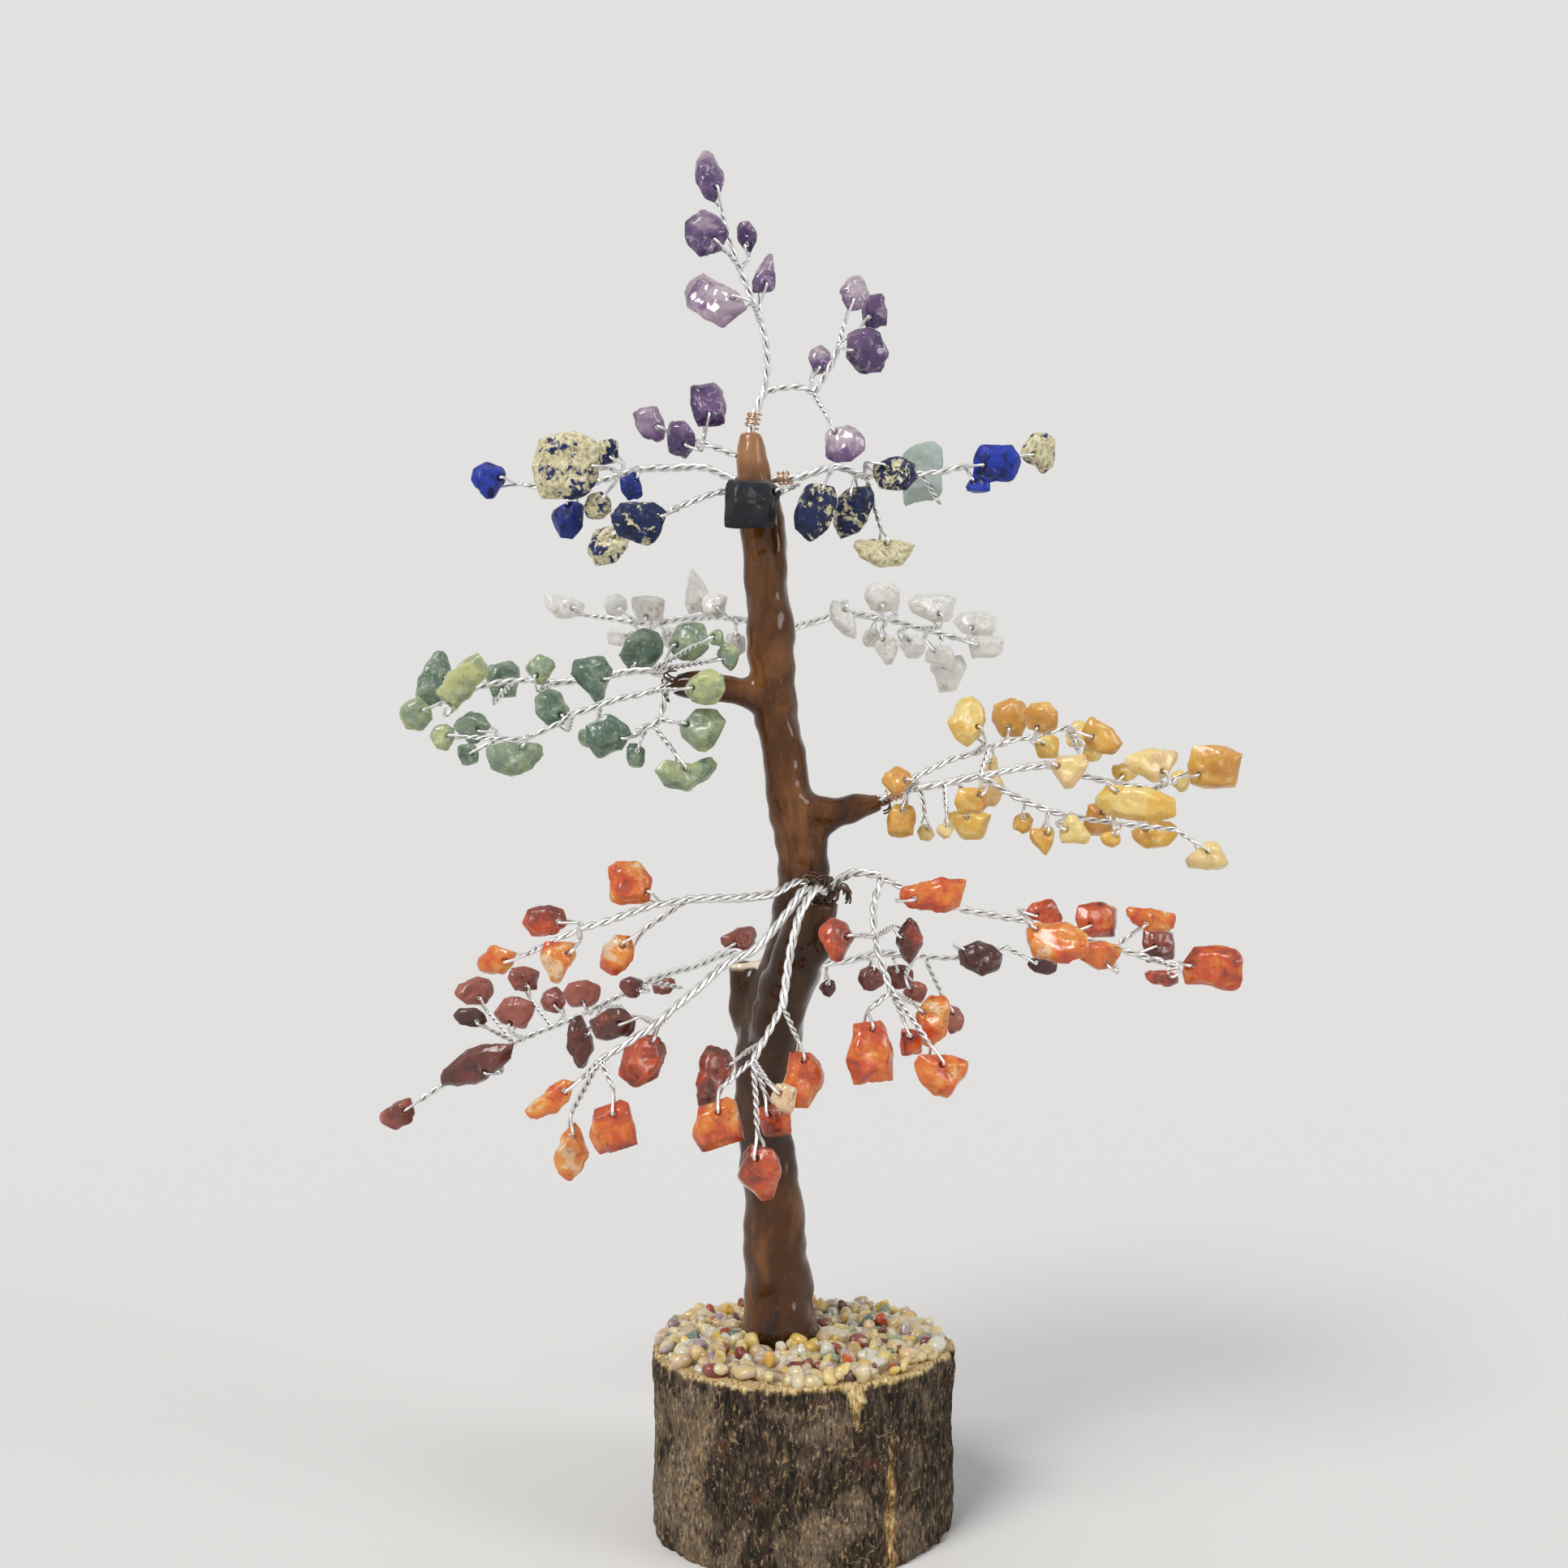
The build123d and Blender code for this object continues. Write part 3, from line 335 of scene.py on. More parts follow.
# Bark: left on round the log, dark and fibrous, with long vertical cracks, rust and tan
# patches, one orange streak, and a pale sawn edge. A V has broken off below the rim.
bark_low, bark_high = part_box("log_bark")
bark_radius = 24.5 * mm
bark_wall = 2.0 * mm
bark_sides = 300
bark_levels = 96
plate_depth = 0.7 * mm
ridge_depth = 0.38 * mm
fibre_depth = 0.26 * mm
crack_depth = 4.5 * mm
foot_bevel = 1.2 * mm
foot_inset = 0.5 * mm
rim_bevel = 0.9 * mm
rim_inset = 0.35 * mm
rim_rise = 0.3 * mm
bare_bearing = math.radians(-69)
bare_half = 2.5 * mm
bare_depth = 7.5 * mm
bare_edge = 0.35 * mm
ragged_edge = 0.5 * mm
streak_bearing = math.radians(-55)
streak_half = 1.6 * mm
streak_narrowing = 1.5 * mm
streak_sway = 0.9 * mm
streak_top = 0.74
bare_wall = 0.2 * mm
peeled_depth = 1.2 * mm
sawn_edge = 0.75 * mm
bark_seat = 0.1 * mm


def off_middle(paint, value, strength):
    """A noise as a difference from its middle, made stronger."""
    return paint.sums("MULTIPLY", paint.sums("SUBTRACT", value, 0.5), strength)


def paint_bark():
    paint = Paint("dry_bark")
    strands = paint.noise(1150, 5, 0.68, paint.stretched((1, 1, 0.30)), 0.3)
    crumbs = paint.noise(2100, 4, 0.62, paint.stretched((1, 1, 0.42)))
    zones = paint.noise(85, 5, 0.62, paint.stretched((1, 1, 0.7)), 0.5)
    patches = paint.noise(210, 5, 0.62, warp=0.6)
    dark = paint.ramp(strands, {
        0.36: (0.010, 0.008, 0.006), 0.50: (0.040, 0.027, 0.018), 0.66: (0.15, 0.105, 0.065)})
    pale_grey_share = paint.sums("ADD", off_middle(paint, zones, 4.2), paint.given("pale_grey_share"))
    # The bark pales to grey-brown in patches, and more so towards the left and towards its foot.
    worn = paint.blend(paint.mask(pale_grey_share, 0.30, 0.75, after=0.70), dark, (0.21, 0.155, 0.105))
    rust = paint.blend(paint.mask(patches, 0.55, 0.68, after=0.55), worn, (0.13, 0.05, 0.022))
    tan = paint.ramp(patches, {0.42: (0.42, 0.26, 0.11), 0.58: (0.42, 0.34, 0.23)})
    many = paint.sums("ADD", crumbs, paint.sums("MULTIPLY", pale_grey_share, 0.07))
    flecks = paint.blend(paint.mask(many, 0.58, 0.69, after=0.9), rust, tan)
    pits = paint.blend(paint.mask(crumbs, 0.34, 0.44, 0.9, 0), flecks, (0.008, 0.006, 0.005))
    bent = paint.shift(paint.stretched((1, 1, 1.8)), off_middle(paint, paint.noise(160, 4), 0.03))
    seams = paint.mask(paint.cells(52, "DISTANCE_TO_EDGE", bent), 0.002, 0.013, 1, 0)
    few = paint.mask(paint.noise(110, 3), 0.53, 0.60, after=0.75)
    split = paint.blend(paint.sums("MULTIPLY", seams, few), pits, (0.44, 0.31, 0.17))
    broken = paint.sums("MULTIPLY", paint.given("streak"), paint.mask(strands, 0.40, 0.52, 0.1, 1))
    gold = paint.ramp(crumbs, {
        0.38: (0.30, 0.14, 0.04), 0.50: (0.52, 0.30, 0.10), 0.64: (0.80, 0.62, 0.34)})
    streak = paint.blend(broken, split, gold)
    sawn = paint.ramp(crumbs, {
        0.38: (0.36, 0.20, 0.07), 0.50: (0.76, 0.55, 0.24), 0.64: (0.95, 0.82, 0.52)})
    edge = paint.blend(paint.given("sawn"), streak, sawn)
    paint.set(base_color=edge, roughness=0.92, specular_ior_level=0.25)
    paint.bump(crumbs, 0.35 * mm, 1.0, paint.bump(strands, 0.6 * mm, 1.0))
    return paint.material


def bark_depth(angle, height):
    """How far the bark stands out: slow swells, plates, and cracks that run up and down."""
    around = Vector((math.cos(angle), math.sin(angle), 0))
    swell = 0.016 * bark_radius * (math.sin(3 * angle + 0.9) + 0.6 * math.sin(7 * angle + 1.8))
    plates = noise.noise(around * 5 + Vector((0, 0, height * 90))) * plate_depth
    ridges = noise.noise(around * 22 + Vector((0, 0, height * 190))) * ridge_depth
    fibres = noise.noise(around * 70 + Vector((0, 0, height * 420))) * fibre_depth
    cracks = max(0, 0.10 - abs(noise.noise(around * 9 + Vector((0, 0, height * 75 + 5))))) * crack_depth
    return swell + plates + ridges + fibres - cracks


def clamped(value):
    """The value, kept between 0 and 1."""
    return min(max(value, 0), 1)


def bark_place(place):
    """Where a point of the plain round tube goes: out to the bark, or in to the wood in the bare V."""
    angle = math.atan2(place.y, place.x)
    turn = (angle - bare_bearing + math.pi) % (2 * math.pi) - math.pi
    below_rim = bark_high.z - place.z
    bare_width = bare_half * (1 - below_rim / bare_depth) + ragged_edge * noise.noise(place * 700)
    bare = clamped((bare_width - abs(turn) * bark_radius) / bare_edge)
    out = bark_depth(angle, place.z) * (1 - bare) - (bark_wall - bare_wall) * bare
    foot = max(0, 1 - (place.z - bark_low.z) / foot_bevel)
    rim = max(0, 1 - below_rim / rim_bevel)
    radius = bark_radius + out - (foot_inset * foot ** 2 + rim_inset * rim ** 2)
    height = place.z
    if below_rim < 0.1 * mm:
        height += rim_rise * noise.noise(Vector((angle * 14, 0, 3)))
    return radius * math.cos(angle), radius * math.sin(angle), height


def bark_marks(place):
    """How sawn and how golden with the streak the bark is at a place, and how far it pales to grey-brown.
    """
    angle = math.atan2(place.y, place.x)
    below_rim = bark_high.z - place.z
    torn = noise.noise(Vector((angle * 9, 1, 0))) + noise.noise(Vector((angle * 38, 1, 0)))
    sawn_depth = sawn_edge + 0.8 * mm * torn
    peeled = bark_radius - math.hypot(place.x, place.y) > peeled_depth and below_rim < bare_depth
    sawn = 1.0 if peeled else clamped((sawn_depth - below_rim) / (0.5 * mm))
    beside = (angle - streak_bearing) * bark_radius + streak_sway * noise.noise(place * 300)
    level = (place.z - bark_low.z) / (bark_high.z - bark_low.z)
    half = streak_half - streak_narrowing * level
    streak = clamped(1.6 - 1.6 * abs(beside) / half) * clamped((streak_top - level) * 8)
    # Paler grey-brown towards the left and towards the foot of the bark.
    pale_grey_share = clamped(0.62 - 0.30 * place.x / bark_radius - 0.55 * level)
    return sawn, streak, pale_grey_share


def mark_layers(bm, *names):
    """Values at each vertex that a paint can read, one for each name."""
    return [bm.verts.layers.float.new(name) for name in names]


def make_bark():
    """A tube grown level by level, then shaped, closed towards the wood and marked for its paint."""
    bm = bmesh.new()
    bmesh.ops.create_circle(bm, segments=bark_sides, radius=bark_radius)
    edges = bm.edges[:]
    step = (bark_high.z - bark_low.z) / bark_levels
    for level in range(bark_levels):
        grown = bmesh.ops.extrude_edge_only(bm, edges=edges)["geom"]
        bmesh.ops.translate(bm, verts=only(grown, bmesh.types.BMVert), vec=(0, 0, step))
        edges = only(grown, bmesh.types.BMEdge)
        edges = [edge for edge in edges if abs(edge.verts[0].co.z - edge.verts[1].co.z) < step / 2]
    for vert in bm.verts:
        vert.co = bark_place(vert.co)
    inner = bmesh.ops.extrude_edge_only(bm, edges=edges)["geom"]
    for vert in only(inner, bmesh.types.BMVert):
        angle = math.atan2(vert.co.y, vert.co.x)
        vert.co.x = (wood_radius - bark_seat) * math.cos(angle)
        vert.co.y = (wood_radius - bark_seat) * math.sin(angle)
    layers = mark_layers(bm, "sawn", "streak", "pale_grey_share")
    for vert in bm.verts:
        for layer, value in zip(layers, bark_marks(vert.co)):
            vert[layer] = value
    bmesh.ops.recalc_face_normals(bm, faces=bm.faces[:])
    finish_mesh(bm, "bark_ring", "stand", "bark", paint_bark(), "log_bark")


make_bark()

# Trunk: the wire armature is dipped and brushed in a glossy brown lacquer, thick at the foot
# and at the stubs, with soft lumps and sags over the bundle inside it.
coat_voxel = 0.45 * mm
lump_height = 0.75 * mm
sag_height = 0.40 * mm
ripple_height = 0.42 * mm
thin_length = 6.5 * mm
taper_length = 14 * mm
glue_cap_reach = 4 * mm
glue_cap_depth = 0.9 * mm
glue_cap_fade = 0.3 * mm
shade_start_px = 1060
shade_end_px = 1490


def paint_coating():
    paint = Paint("brown_lacquer")
    runs = paint.noise(120, 5, 0.6, paint.stretched((1, 1, 0.35)), 0.5)
    dust = paint.noise(1300, 4, 0.6)
    brown = paint.ramp(runs, {
        0.34: (0.016, 0.004, 0.0004), 0.50: (0.074, 0.022, 0.002), 0.66: (0.19, 0.072, 0.018)})
    dusty = paint.blend(paint.mask(dust, 0.60, 0.70, after=0.30), brown, (0.22, 0.12, 0.075))
    shaded = paint.blend(paint.given("deep"), dusty, (0.022, 0.007, 0.001))
    worn = paint.blend(paint.given("thin"), shaded, (0.34, 0.155, 0.065))
    capped = paint.blend(paint.given("capped"), worn, (0.80, 0.70, 0.52))
    shine = paint.mask(paint.noise(90, 4), 0.35, 0.65, 0.10, 0.30)
    paint.set(base_color=capped, roughness=shine, specular_ior_level=0.12)
    paint.set(coat_weight=0.5, coat_roughness=0.05)
    paint.bump(paint.noise(420, 5, 0.6), 0.30 * mm, 0.55)
    return paint.material


def merged_copy(name):
    """A CAD node's mesh as a bmesh, with its loose triangles joined."""
    bm = bmesh.new()
    bm.from_mesh(nodes[name].data)
    bmesh.ops.remove_doubles(bm, verts=bm.verts, dist=0.002 * mm)
    bm.verts.index_update()
    return bm


def wear_round(bm, share):
    """Every vertex moved this share of the way to the middle of its neighbours."""
    bmesh.ops.smooth_vert(
        bm, verts=bm.verts, factor=share, use_axis_x=True, use_axis_y=True, use_axis_z=True)


def settled(rough):
    """An object's final mesh, with its modifiers or its bevel, as a bmesh. The object goes."""
    bpy.context.view_layer.update()
    final = rough.evaluated_get(bpy.context.evaluated_depsgraph_get())
    bm = bmesh.new()
    bm.from_mesh(bpy.data.meshes.new_from_object(final))
    bpy.data.objects.remove(rough)
    return bm


def remeshed(bm, voxel, rounds):
    """The same shape in small even faces, its edges worn round."""
    rough = placed("rough", mesh_of(bm, "rough"))
    even = rough.modifiers.new("even", "REMESH")
    even.mode = "VOXEL"
    even.voxel_size = voxel
    result = settled(rough)
    for turn in range(rounds):
        wear_round(result, 0.5)
    return result


def spot_at(across, down, away):
    """The place that shows at a pixel of the photograph, this far behind the trunk's middle."""
    share = pixel * (away / pixel + eye_px) / eye_px
    right = camera.location.x + (across - middle_px) * share
    up = camera.location.z - (down - middle_px) * share
    return Vector((right, away, up))


trunk_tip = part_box("trunk_coating")[1].z
back_stub_end = spot_at(916, 1185, 2.7 * mm)


def make_trunk():
    """The lacquer, with lumps and sags, thin at the tip and capped with pale glue on the back stub."""
    bm = remeshed(merged_copy("trunk_coating"), coat_voxel, 6)
    thin, capped, deep = mark_layers(bm, "thin", "capped", "deep")
    bm.normal_update()
    for vert in bm.verts:
        x, y, z = vert.co
        lumps = noise.noise(vert.co * 120) * lump_height
        sags = noise.noise(Vector((x * 260, y * 260, z * 110))) * sag_height
        ripples = noise.noise(Vector((x * 250, y * 250, z * 330))) * ripple_height
        tapered = min(1, max((trunk_tip - z) / taper_length, 0) + 0.2)
        edge = noise.noise(vert.co * 500) * mm
        vert[thin] = clamped(1.6 - (trunk_tip - z + edge) / thin_length)
        beside = math.hypot(x - back_stub_end.x, y - back_stub_end.y)
        above = z - back_stub_end.z + glue_cap_depth + 0.4 * edge
        on_stub = beside < glue_cap_reach and above < glue_cap_reach
        vert[capped] = clamped(above / glue_cap_fade) if on_stub else 0
        down = photo_spot(vert.co)[1] + 40 * noise.noise(vert.co * 90)
        shaded = clamped((down - shade_start_px) / 60) * clamped((shade_end_px - down) / 70)
        vert[deep] = 0.75 * shaded
        vert.co += vert.normal * (lumps + sags + ripples) * tapered
    finish_mesh(bm, "lacquered_trunk", "stand", "brown_coating", paint_coating(), "trunk_coating")


make_trunk()

# Twisted wire: each chip hangs on one strand of soft silvered wire, bent double through its
# drilled hole and twisted with itself, and the pairs are twisted again into thicker stems.


def paint_wire(name, colour, tarnish_and_shade_colour, roughness):
    """Drawn metal wire, darker in patches of tarnish, and with painted shade in the clefts of a twist."""
    paint = Paint(name)
    scuffs = paint.noise(3500, 3)
    tarnish = paint.mask(paint.noise(420, 4), 0.45, 0.75, after=0.45)
    # Painted shade in the clefts of a twist, taken together with the real tarnish: both darken to the
    # second colour.
    tarnish_and_cleft_shade = paint.sums("MAXIMUM", tarnish, paint.given("cleft_shade"))
    paint.set(base_color=paint.blend(tarnish_and_cleft_shade, colour, tarnish_and_shade_colour), metallic=1.0, roughness=roughness)
    paint.bump(scuffs, 0.03 * mm, 0.4)
    return paint.material


# The second colour is for tarnish and for the painted shade in the clefts of a twist.
silver = paint_wire("silvered_wire", (0.88, 0.88, 0.875), (0.30, 0.295, 0.28), 0.30)
strand_radius = 0.24 * mm
pair_pitch = 2.9 * mm
stem_pitch = 4.6 * mm
step_along = 0.27 * mm
loop_limit = 0.35 * mm
twig_limit = 0.55 * mm
near_loop = 0.55 * mm
thick_stem = 0.63 * mm
strand_shares = {2: 0.52, 3: 0.46}
stem_wander = 0.30 * mm
twig_wander = 0.22 * mm
# How near a twist's middle line the wire gets painted shade, and over how far it fades.
cleft_shade_reach = 0.16 * mm
cleft_shade_fade = 0.22 * mm


def middle_of(verts):
    """The mean place of some vertices, which are always added up in the same order."""
    places = sorted(vert.co[:] for vert in verts)
    return sum((Vector(place) for place in places), Vector()) / len(places)


def flooded(start, beside, seen):
    """All that is reached from a start by going to what lies beside it and wasn't seen before."""
    found, front = [], [start]
    seen.add(start)
    while front:
        here = front.pop()
        found.append(here)
        for there in beside(here):
            if there not in seen:
                seen.add(there)
                front.append(there)
    return found


def islands(bm):
    """The separate solids in a bmesh, each as a list of its vertices."""
    seen = set()
    for vert in bm.verts:
        if vert not in seen:
            yield flooded(vert, lambda here: [edge.other_vert(here) for edge in here.link_edges], seen)


def level_beside(face, up):
    """The faces beside a face that point the same way."""
    around = [there for edge in face.edges for there in edge.link_faces]
    return [there for there in around if there.normal.dot(up) > 0.99999]


def flat_ends(group):
    """The rims of a wire's cut ends: the flat round faces in its mesh."""
    looked = set()
    rims = []
    for face in [face for vert in group for face in vert.link_faces]:
        if face in looked:
            continue
        flat = flooded(face, lambda here: level_beside(here, face.normal), looked)
        corners = list(dict.fromkeys(corner for part in flat for corner in part.verts))
        middle = middle_of(corners)
        reach = [(corner.co - middle).length for corner in corners]
        if len(corners) >= 6 and min(reach) > 0.97 * max(reach):
            rims.append(corners)
    return rims


def middle_line(group):
    """A wire's centre line, ring by ring from the cut end that its mesh has first, and its radius."""
    ring = min(flat_ends(group), key=lambda rim: min(vert.index for vert in rim))
    seen = set(ring)
    line, radius = [], 0
    while ring:
        middle = middle_of(ring)
        if not line:
            radius = sum(sorted((vert.co - middle).length for vert in ring)) / len(ring)
        line.append(middle)
        beside = dict.fromkeys(edge.other_vert(vert) for vert in ring for edge in vert.link_edges)
        ring = [vert for vert in beside if vert not in seen]
        seen.update(ring)
    return line, radius


def evenly(line, spacing):
    """The line again, with points at even steps."""
    lengths = [(after - before).length for before, after in zip(line, line[1:])]
    total = sum(lengths)
    count = max(int(total / spacing), 2)
    points, run, passed = [], 0, 0
    for step in range(count + 1):
        target = total * step / count
        while run < len(lengths) - 1 and passed + lengths[run] < target:
            passed += lengths[run]
            run += 1
        share = (target - passed) / lengths[run] if lengths[run] else 0
        points.append(line[run].lerp(line[run + 1], min(share, 1)))
    return points


def wandering(line, amount, seed):
    """Hand-bent wire is never quite straight: the line strays a little between its ends."""
    strayed = []
    for step, point in enumerate(line):
        envelope = math.sqrt(max(math.sin(math.pi * step / (len(line) - 1)), 0))
        drift = noise.noise_vector(point * 160 + Vector((seed, seed * 0.7, 0)))
        strayed.append(point + drift * amount * envelope)
    return strayed


def kd_tree(points):
    tree = kdtree.KDTree(len(points))
    for k, point in enumerate(points):
        tree.insert(point, k)
    tree.balance()
    return tree


def twisted(line, strands, lay_radius, pitch, side):
    """Strands laid round a line. The first ends the line on the given side of it."""
    frames = []
    normal = side
    for step in range(len(line) - 1, -1, -1):
        before, after = line[max(step - 1, 0)], line[min(step + 1, len(line) - 1)]
        way = (after - before).normalized()
        normal = (normal - way * normal.dot(way)).normalized()
        frames.append((line[step], way, normal))
    frames.reverse()
    routes = [[] for strand in range(strands)]
    left = sum((after - before).length for before, after in zip(line, line[1:]))
    for step, (point, way, normal) in enumerate(frames):
        if step:
            left -= (point - frames[step - 1][0]).length
        for strand in range(strands):
            angle = 2 * math.pi * (left / pitch + strand / strands)
            routes[strand].append(point + Matrix.Rotation(angle, 3, way) @ normal * lay_radius)
    return routes


def strands_mesh(name, body, slot, material, routes, radii, middles, *replaced):
    """Round wire along many routes, as one mesh piece. The wire near the middles gets painted shade, as in
    the clefts of a twist.
    """
    curve = bpy.data.curves.new(name, "CURVE")
    curve.dimensions = "3D"
    curve.bevel_depth = 1
    curve.bevel_resolution = 1
    curve.use_fill_caps = True
    for route, radius in zip(routes, radii):
        spline = curve.splines.new("POLY")
        spline.points.add(len(route) - 1)
        for point, place in zip(spline.points, route):
            point.co = (*place, 1)
            point.radius = radius
    bm = settled(placed(name + "_line", curve))
    near_middle = kd_tree(middles)
    # Painted shade: each vertex is marked by how near it lies to a twist's middle line.
    cleft_shade = mark_layers(bm, "cleft_shade")[0]
    for vert in bm.verts:
        away = near_middle.find(vert.co)[2]
        vert[cleft_shade] = clamped(1 - (away - cleft_shade_reach) / cleft_shade_fade)
    finish_mesh(bm, name, body, slot, material, *replaced)


def start_of(line):
    """Where a line starts, to the nearest micrometre."""
    return [round(value, 6) for value in line[0]]


def how_near(line, spot):
    """How far the nearer end of a line is from a spot."""
    return min((line[0] - spot).length, (line[-1] - spot).length)


def sort_wires(name):
    """The stems, the short twigs and the loops of a spray, as centre lines from left to right."""
    bm = merged_copy(name)
    bm.normal_update()
    wires = []
    for group in islands(bm):
        line, radius = middle_line(group)
        wires.append((min(line, line[::-1], key=start_of), radius))
    wires.sort(key=lambda wire: start_of(wire[0]))
    bm.free()
    loops = [line for line, radius in wires if radius < loop_limit]
    ends = [(line[0] + line[-1]) / 2 for line in loops]
    stems, twigs = [], []
    for line, radius in wires:
        if radius < loop_limit:
            continue
        at_loop = [k for k, end in enumerate(ends) if how_near(line, end) < near_loop]
        if at_loop and radius < twig_limit:
            twigs.append((line, at_loop[0]))
        else:
            stems.append((line, radius))
    return stems, twigs, loops


join_reach = 4
ease_rounds = 7
twig_seed = 40


def eased(route, start, end):
    """A route with the kinks taken out between two of its points, as wire bends in the hand."""
    for turn in range(ease_rounds):
        before = route[:]
        for step in range(max(start, 1), min(end, len(route) - 1)):
            if min(step - start, end - step) < 2 * join_reach + 2:
                route[step] = (before[step - 1] + 2 * before[step] + before[step + 1]) / 4
    return route


def stem_strands(line, radius, seed):
    """The strands of a stem, laid round its line, with the radius of each and the line itself."""
    start = line[0] + (line[0] - line[1]).normalized() * 0.9 * mm
    end = line[-1] + (line[-1] - line[-2]).normalized() * 0.5 * mm
    path = wandering(evenly([start] + line + [end], step_along), stem_wander, seed)
    count = 3 if radius > thick_stem else 2
    strand = radius * strand_shares[count]
    side = path[-1].cross(Vector((0, 0, 1))).normalized()
    return twisted(path, count, radius - strand, stem_pitch * count / 2, side), strand, path


def rounded(bend):
    """A loop's points with their corners worn off three times over."""
    for turn in range(3):
        inside = [(a + 2 * b + c) / 4 for a, b, c in zip(bend, bend[1:], bend[2:])]
        bend = [bend[0]] + inside + [bend[-1]]
    return bend


def twig_strand(line, loop, seed):
    """The one strand of a twig, out along a twisted pair, round its loop and back, and the pair's line."""
    knot = (loop[0] + loop[-1]) / 2
    side = (loop[0] - loop[-1]).normalized()
    if (line[0] - knot).length < (line[-1] - knot).length:
        line = line[::-1]
    way = (line[-1] - line[0]).normalized()
    path = wandering(evenly([line[0] - way * 0.7 * mm, knot], step_along), twig_wander, seed)
    first, second = twisted(path, 2, strand_radius, pair_pitch, side)
    bend = rounded(evenly(loop, step_along))
    for strand, end in ((first, bend[0]), (second, bend[-1])):
        nearest = min(range(len(strand)), key=lambda step: (strand[step] - end).length)
        del strand[max(nearest, 2):]
    route = first + bend + second[::-1]
    return eased(route, len(first) - join_reach, len(first) + len(bend) + join_reach), path


def make_wires(spray, body):
    name = spray + "_wires"
    stems, twigs, loops = sort_wires(name)
    routes, radii, middles = [], [], []
    for seed, (line, radius) in enumerate(stems):
        strands, strand, path = stem_strands(line, radius, seed)
        routes += strands
        radii += [strand] * len(strands)
        middles += path
    near_stem = kd_tree(middles)
    twig_of = {loop: line for line, loop in twigs}
    for k, loop in enumerate(loops):
        knot = (loop[0] + loop[-1]) / 2
        line = twig_of[k] if k in twig_of else [near_stem.find(knot)[0], knot]
        route, path = twig_strand(line, loop, twig_seed + k)
        routes.append(route)
        radii.append(strand_radius)
        middles += path
    wire_points.extend(point for route in routes for point in route)
    strands_mesh(spray + "_twisted_wire", body, "silver_wire", silver, routes, radii, middles, name)


wire_points = []
for body in frame["bodies"]:
    if body.endswith("_spray"):
        make_wires(body[:-len("_spray")], body)

# Copper binding: a few turns of thin bare copper wire, pulled tight by hand, that tie a spray
# down where it leaves the trunk: on the crown, on the lapis sprays and on the yellow quartz stub.
copper = paint_wire("copper_wire", (0.62, 0.34, 0.19), (0.20, 0.09, 0.05), 0.32)


def repaint(name, material):
    """A CAD node shown in a material of its own."""
    nodes[name].data.materials.clear()
    nodes[name].data.materials.append(material)


for name in ("crown", "lapis", "yellow"):
    repaint(name + "_binding", copper)

# Armature: the bundle of dull dipped wire inside the trunk, twisted together and set in the
# log's socket. Its cut ends fray and curl out of the stubs that the sprays leave from.
dull_wire = paint_wire("armature_wire", (0.13, 0.085, 0.06), (0.03, 0.022, 0.018), 0.42)
repaint("armature_bundle", dull_wire)
frayed_radius = 0.17 * mm
curl_steps = 12


def any_way(draw):
    """A vector in any direction at all."""
    return Vector((draw.gauss(0, 1), draw.gauss(0, 1), draw.gauss(0, 1)))


def curl(start, way, draw):
    """A short wire that leaves the stub and bends over in one round sweep."""
    across = way.cross(any_way(draw)).normalized()
    reach = draw.uniform(0.9, 1.8) * mm
    sweep = draw.uniform(2.2, 4.4)
    turned = way.cross(across)
    points = [start - way * 0.8 * mm]
    for step in range(curl_steps):
        angle = sweep * step / (curl_steps - 1)
        along = way * math.sin(angle) * reach + across * (1 - math.cos(angle)) * reach
        points.append(start + along + turned * step * 0.06 * mm)
    return points


def fray(name, tip, way, width, count, seed):
    """The cut ends of a stub's wires, spread over its width."""
    draw = random.Random(seed)
    way = Vector(way).normalized()
    routes = []
    for k in range(count):
        beside = any_way(draw)
        beside = (beside - way * beside.dot(way)).normalized() * width * math.sqrt(draw.random())
        routes.append(curl(tip + beside, way, draw))
    # Painted shade on the curls near the middle of the stub's cut end.
    middles = [tip - way * 0.3 * mm]
    strands_mesh(name, "stand", "armature_wire", dull_wire, routes, [frayed_radius] * count, middles)


fray("front_stub_ends", spot_at(1015, 1097, -13.0 * mm), (0.35, -0.25, 0.9), 2.6 * mm, count=44, seed=5)
fray("left_stub_ends", spot_at(829, 841, -1.6 * mm), (-0.98, -0.1, 0.1), 1.2 * mm, count=8, seed=8)
fray("right_stub_ends", spot_at(1088, 986, 0), (0.97, 0, 0.2), 0.8 * mm, count=5, seed=9)

# Tumbled chips: broken stone, tumbled until its edges are round, then drilled. A chip keeps its
# facets and a few chipped pits. Its tone, from about 0 to 1, sets its colour, and comes from
# the table of its stone, at the pixel of the photograph where the chip shows.
chip_voxel = 0.27 * mm
near_wire = kd_tree(wire_points)
facet_deep = 0.74
facet_shallow = 0.93
facet_flatness = 0.85
same_chip_px = 16
near_strand = 0.7 * mm


def grind_facets(group, middle, draw, count, deep):
    """Flat faces broken and ground onto a stone, each a random way round."""
    for facet in range(count):
        way = any_way(draw).normalized()
        reach = max((vert.co - middle).dot(way) for vert in group)
        limit = reach * draw.uniform(deep, facet_shallow)
        for vert in group:
            past = (vert.co - middle).dot(way) - limit
            if past > 0:
                vert.co -= way * past * facet_flatness


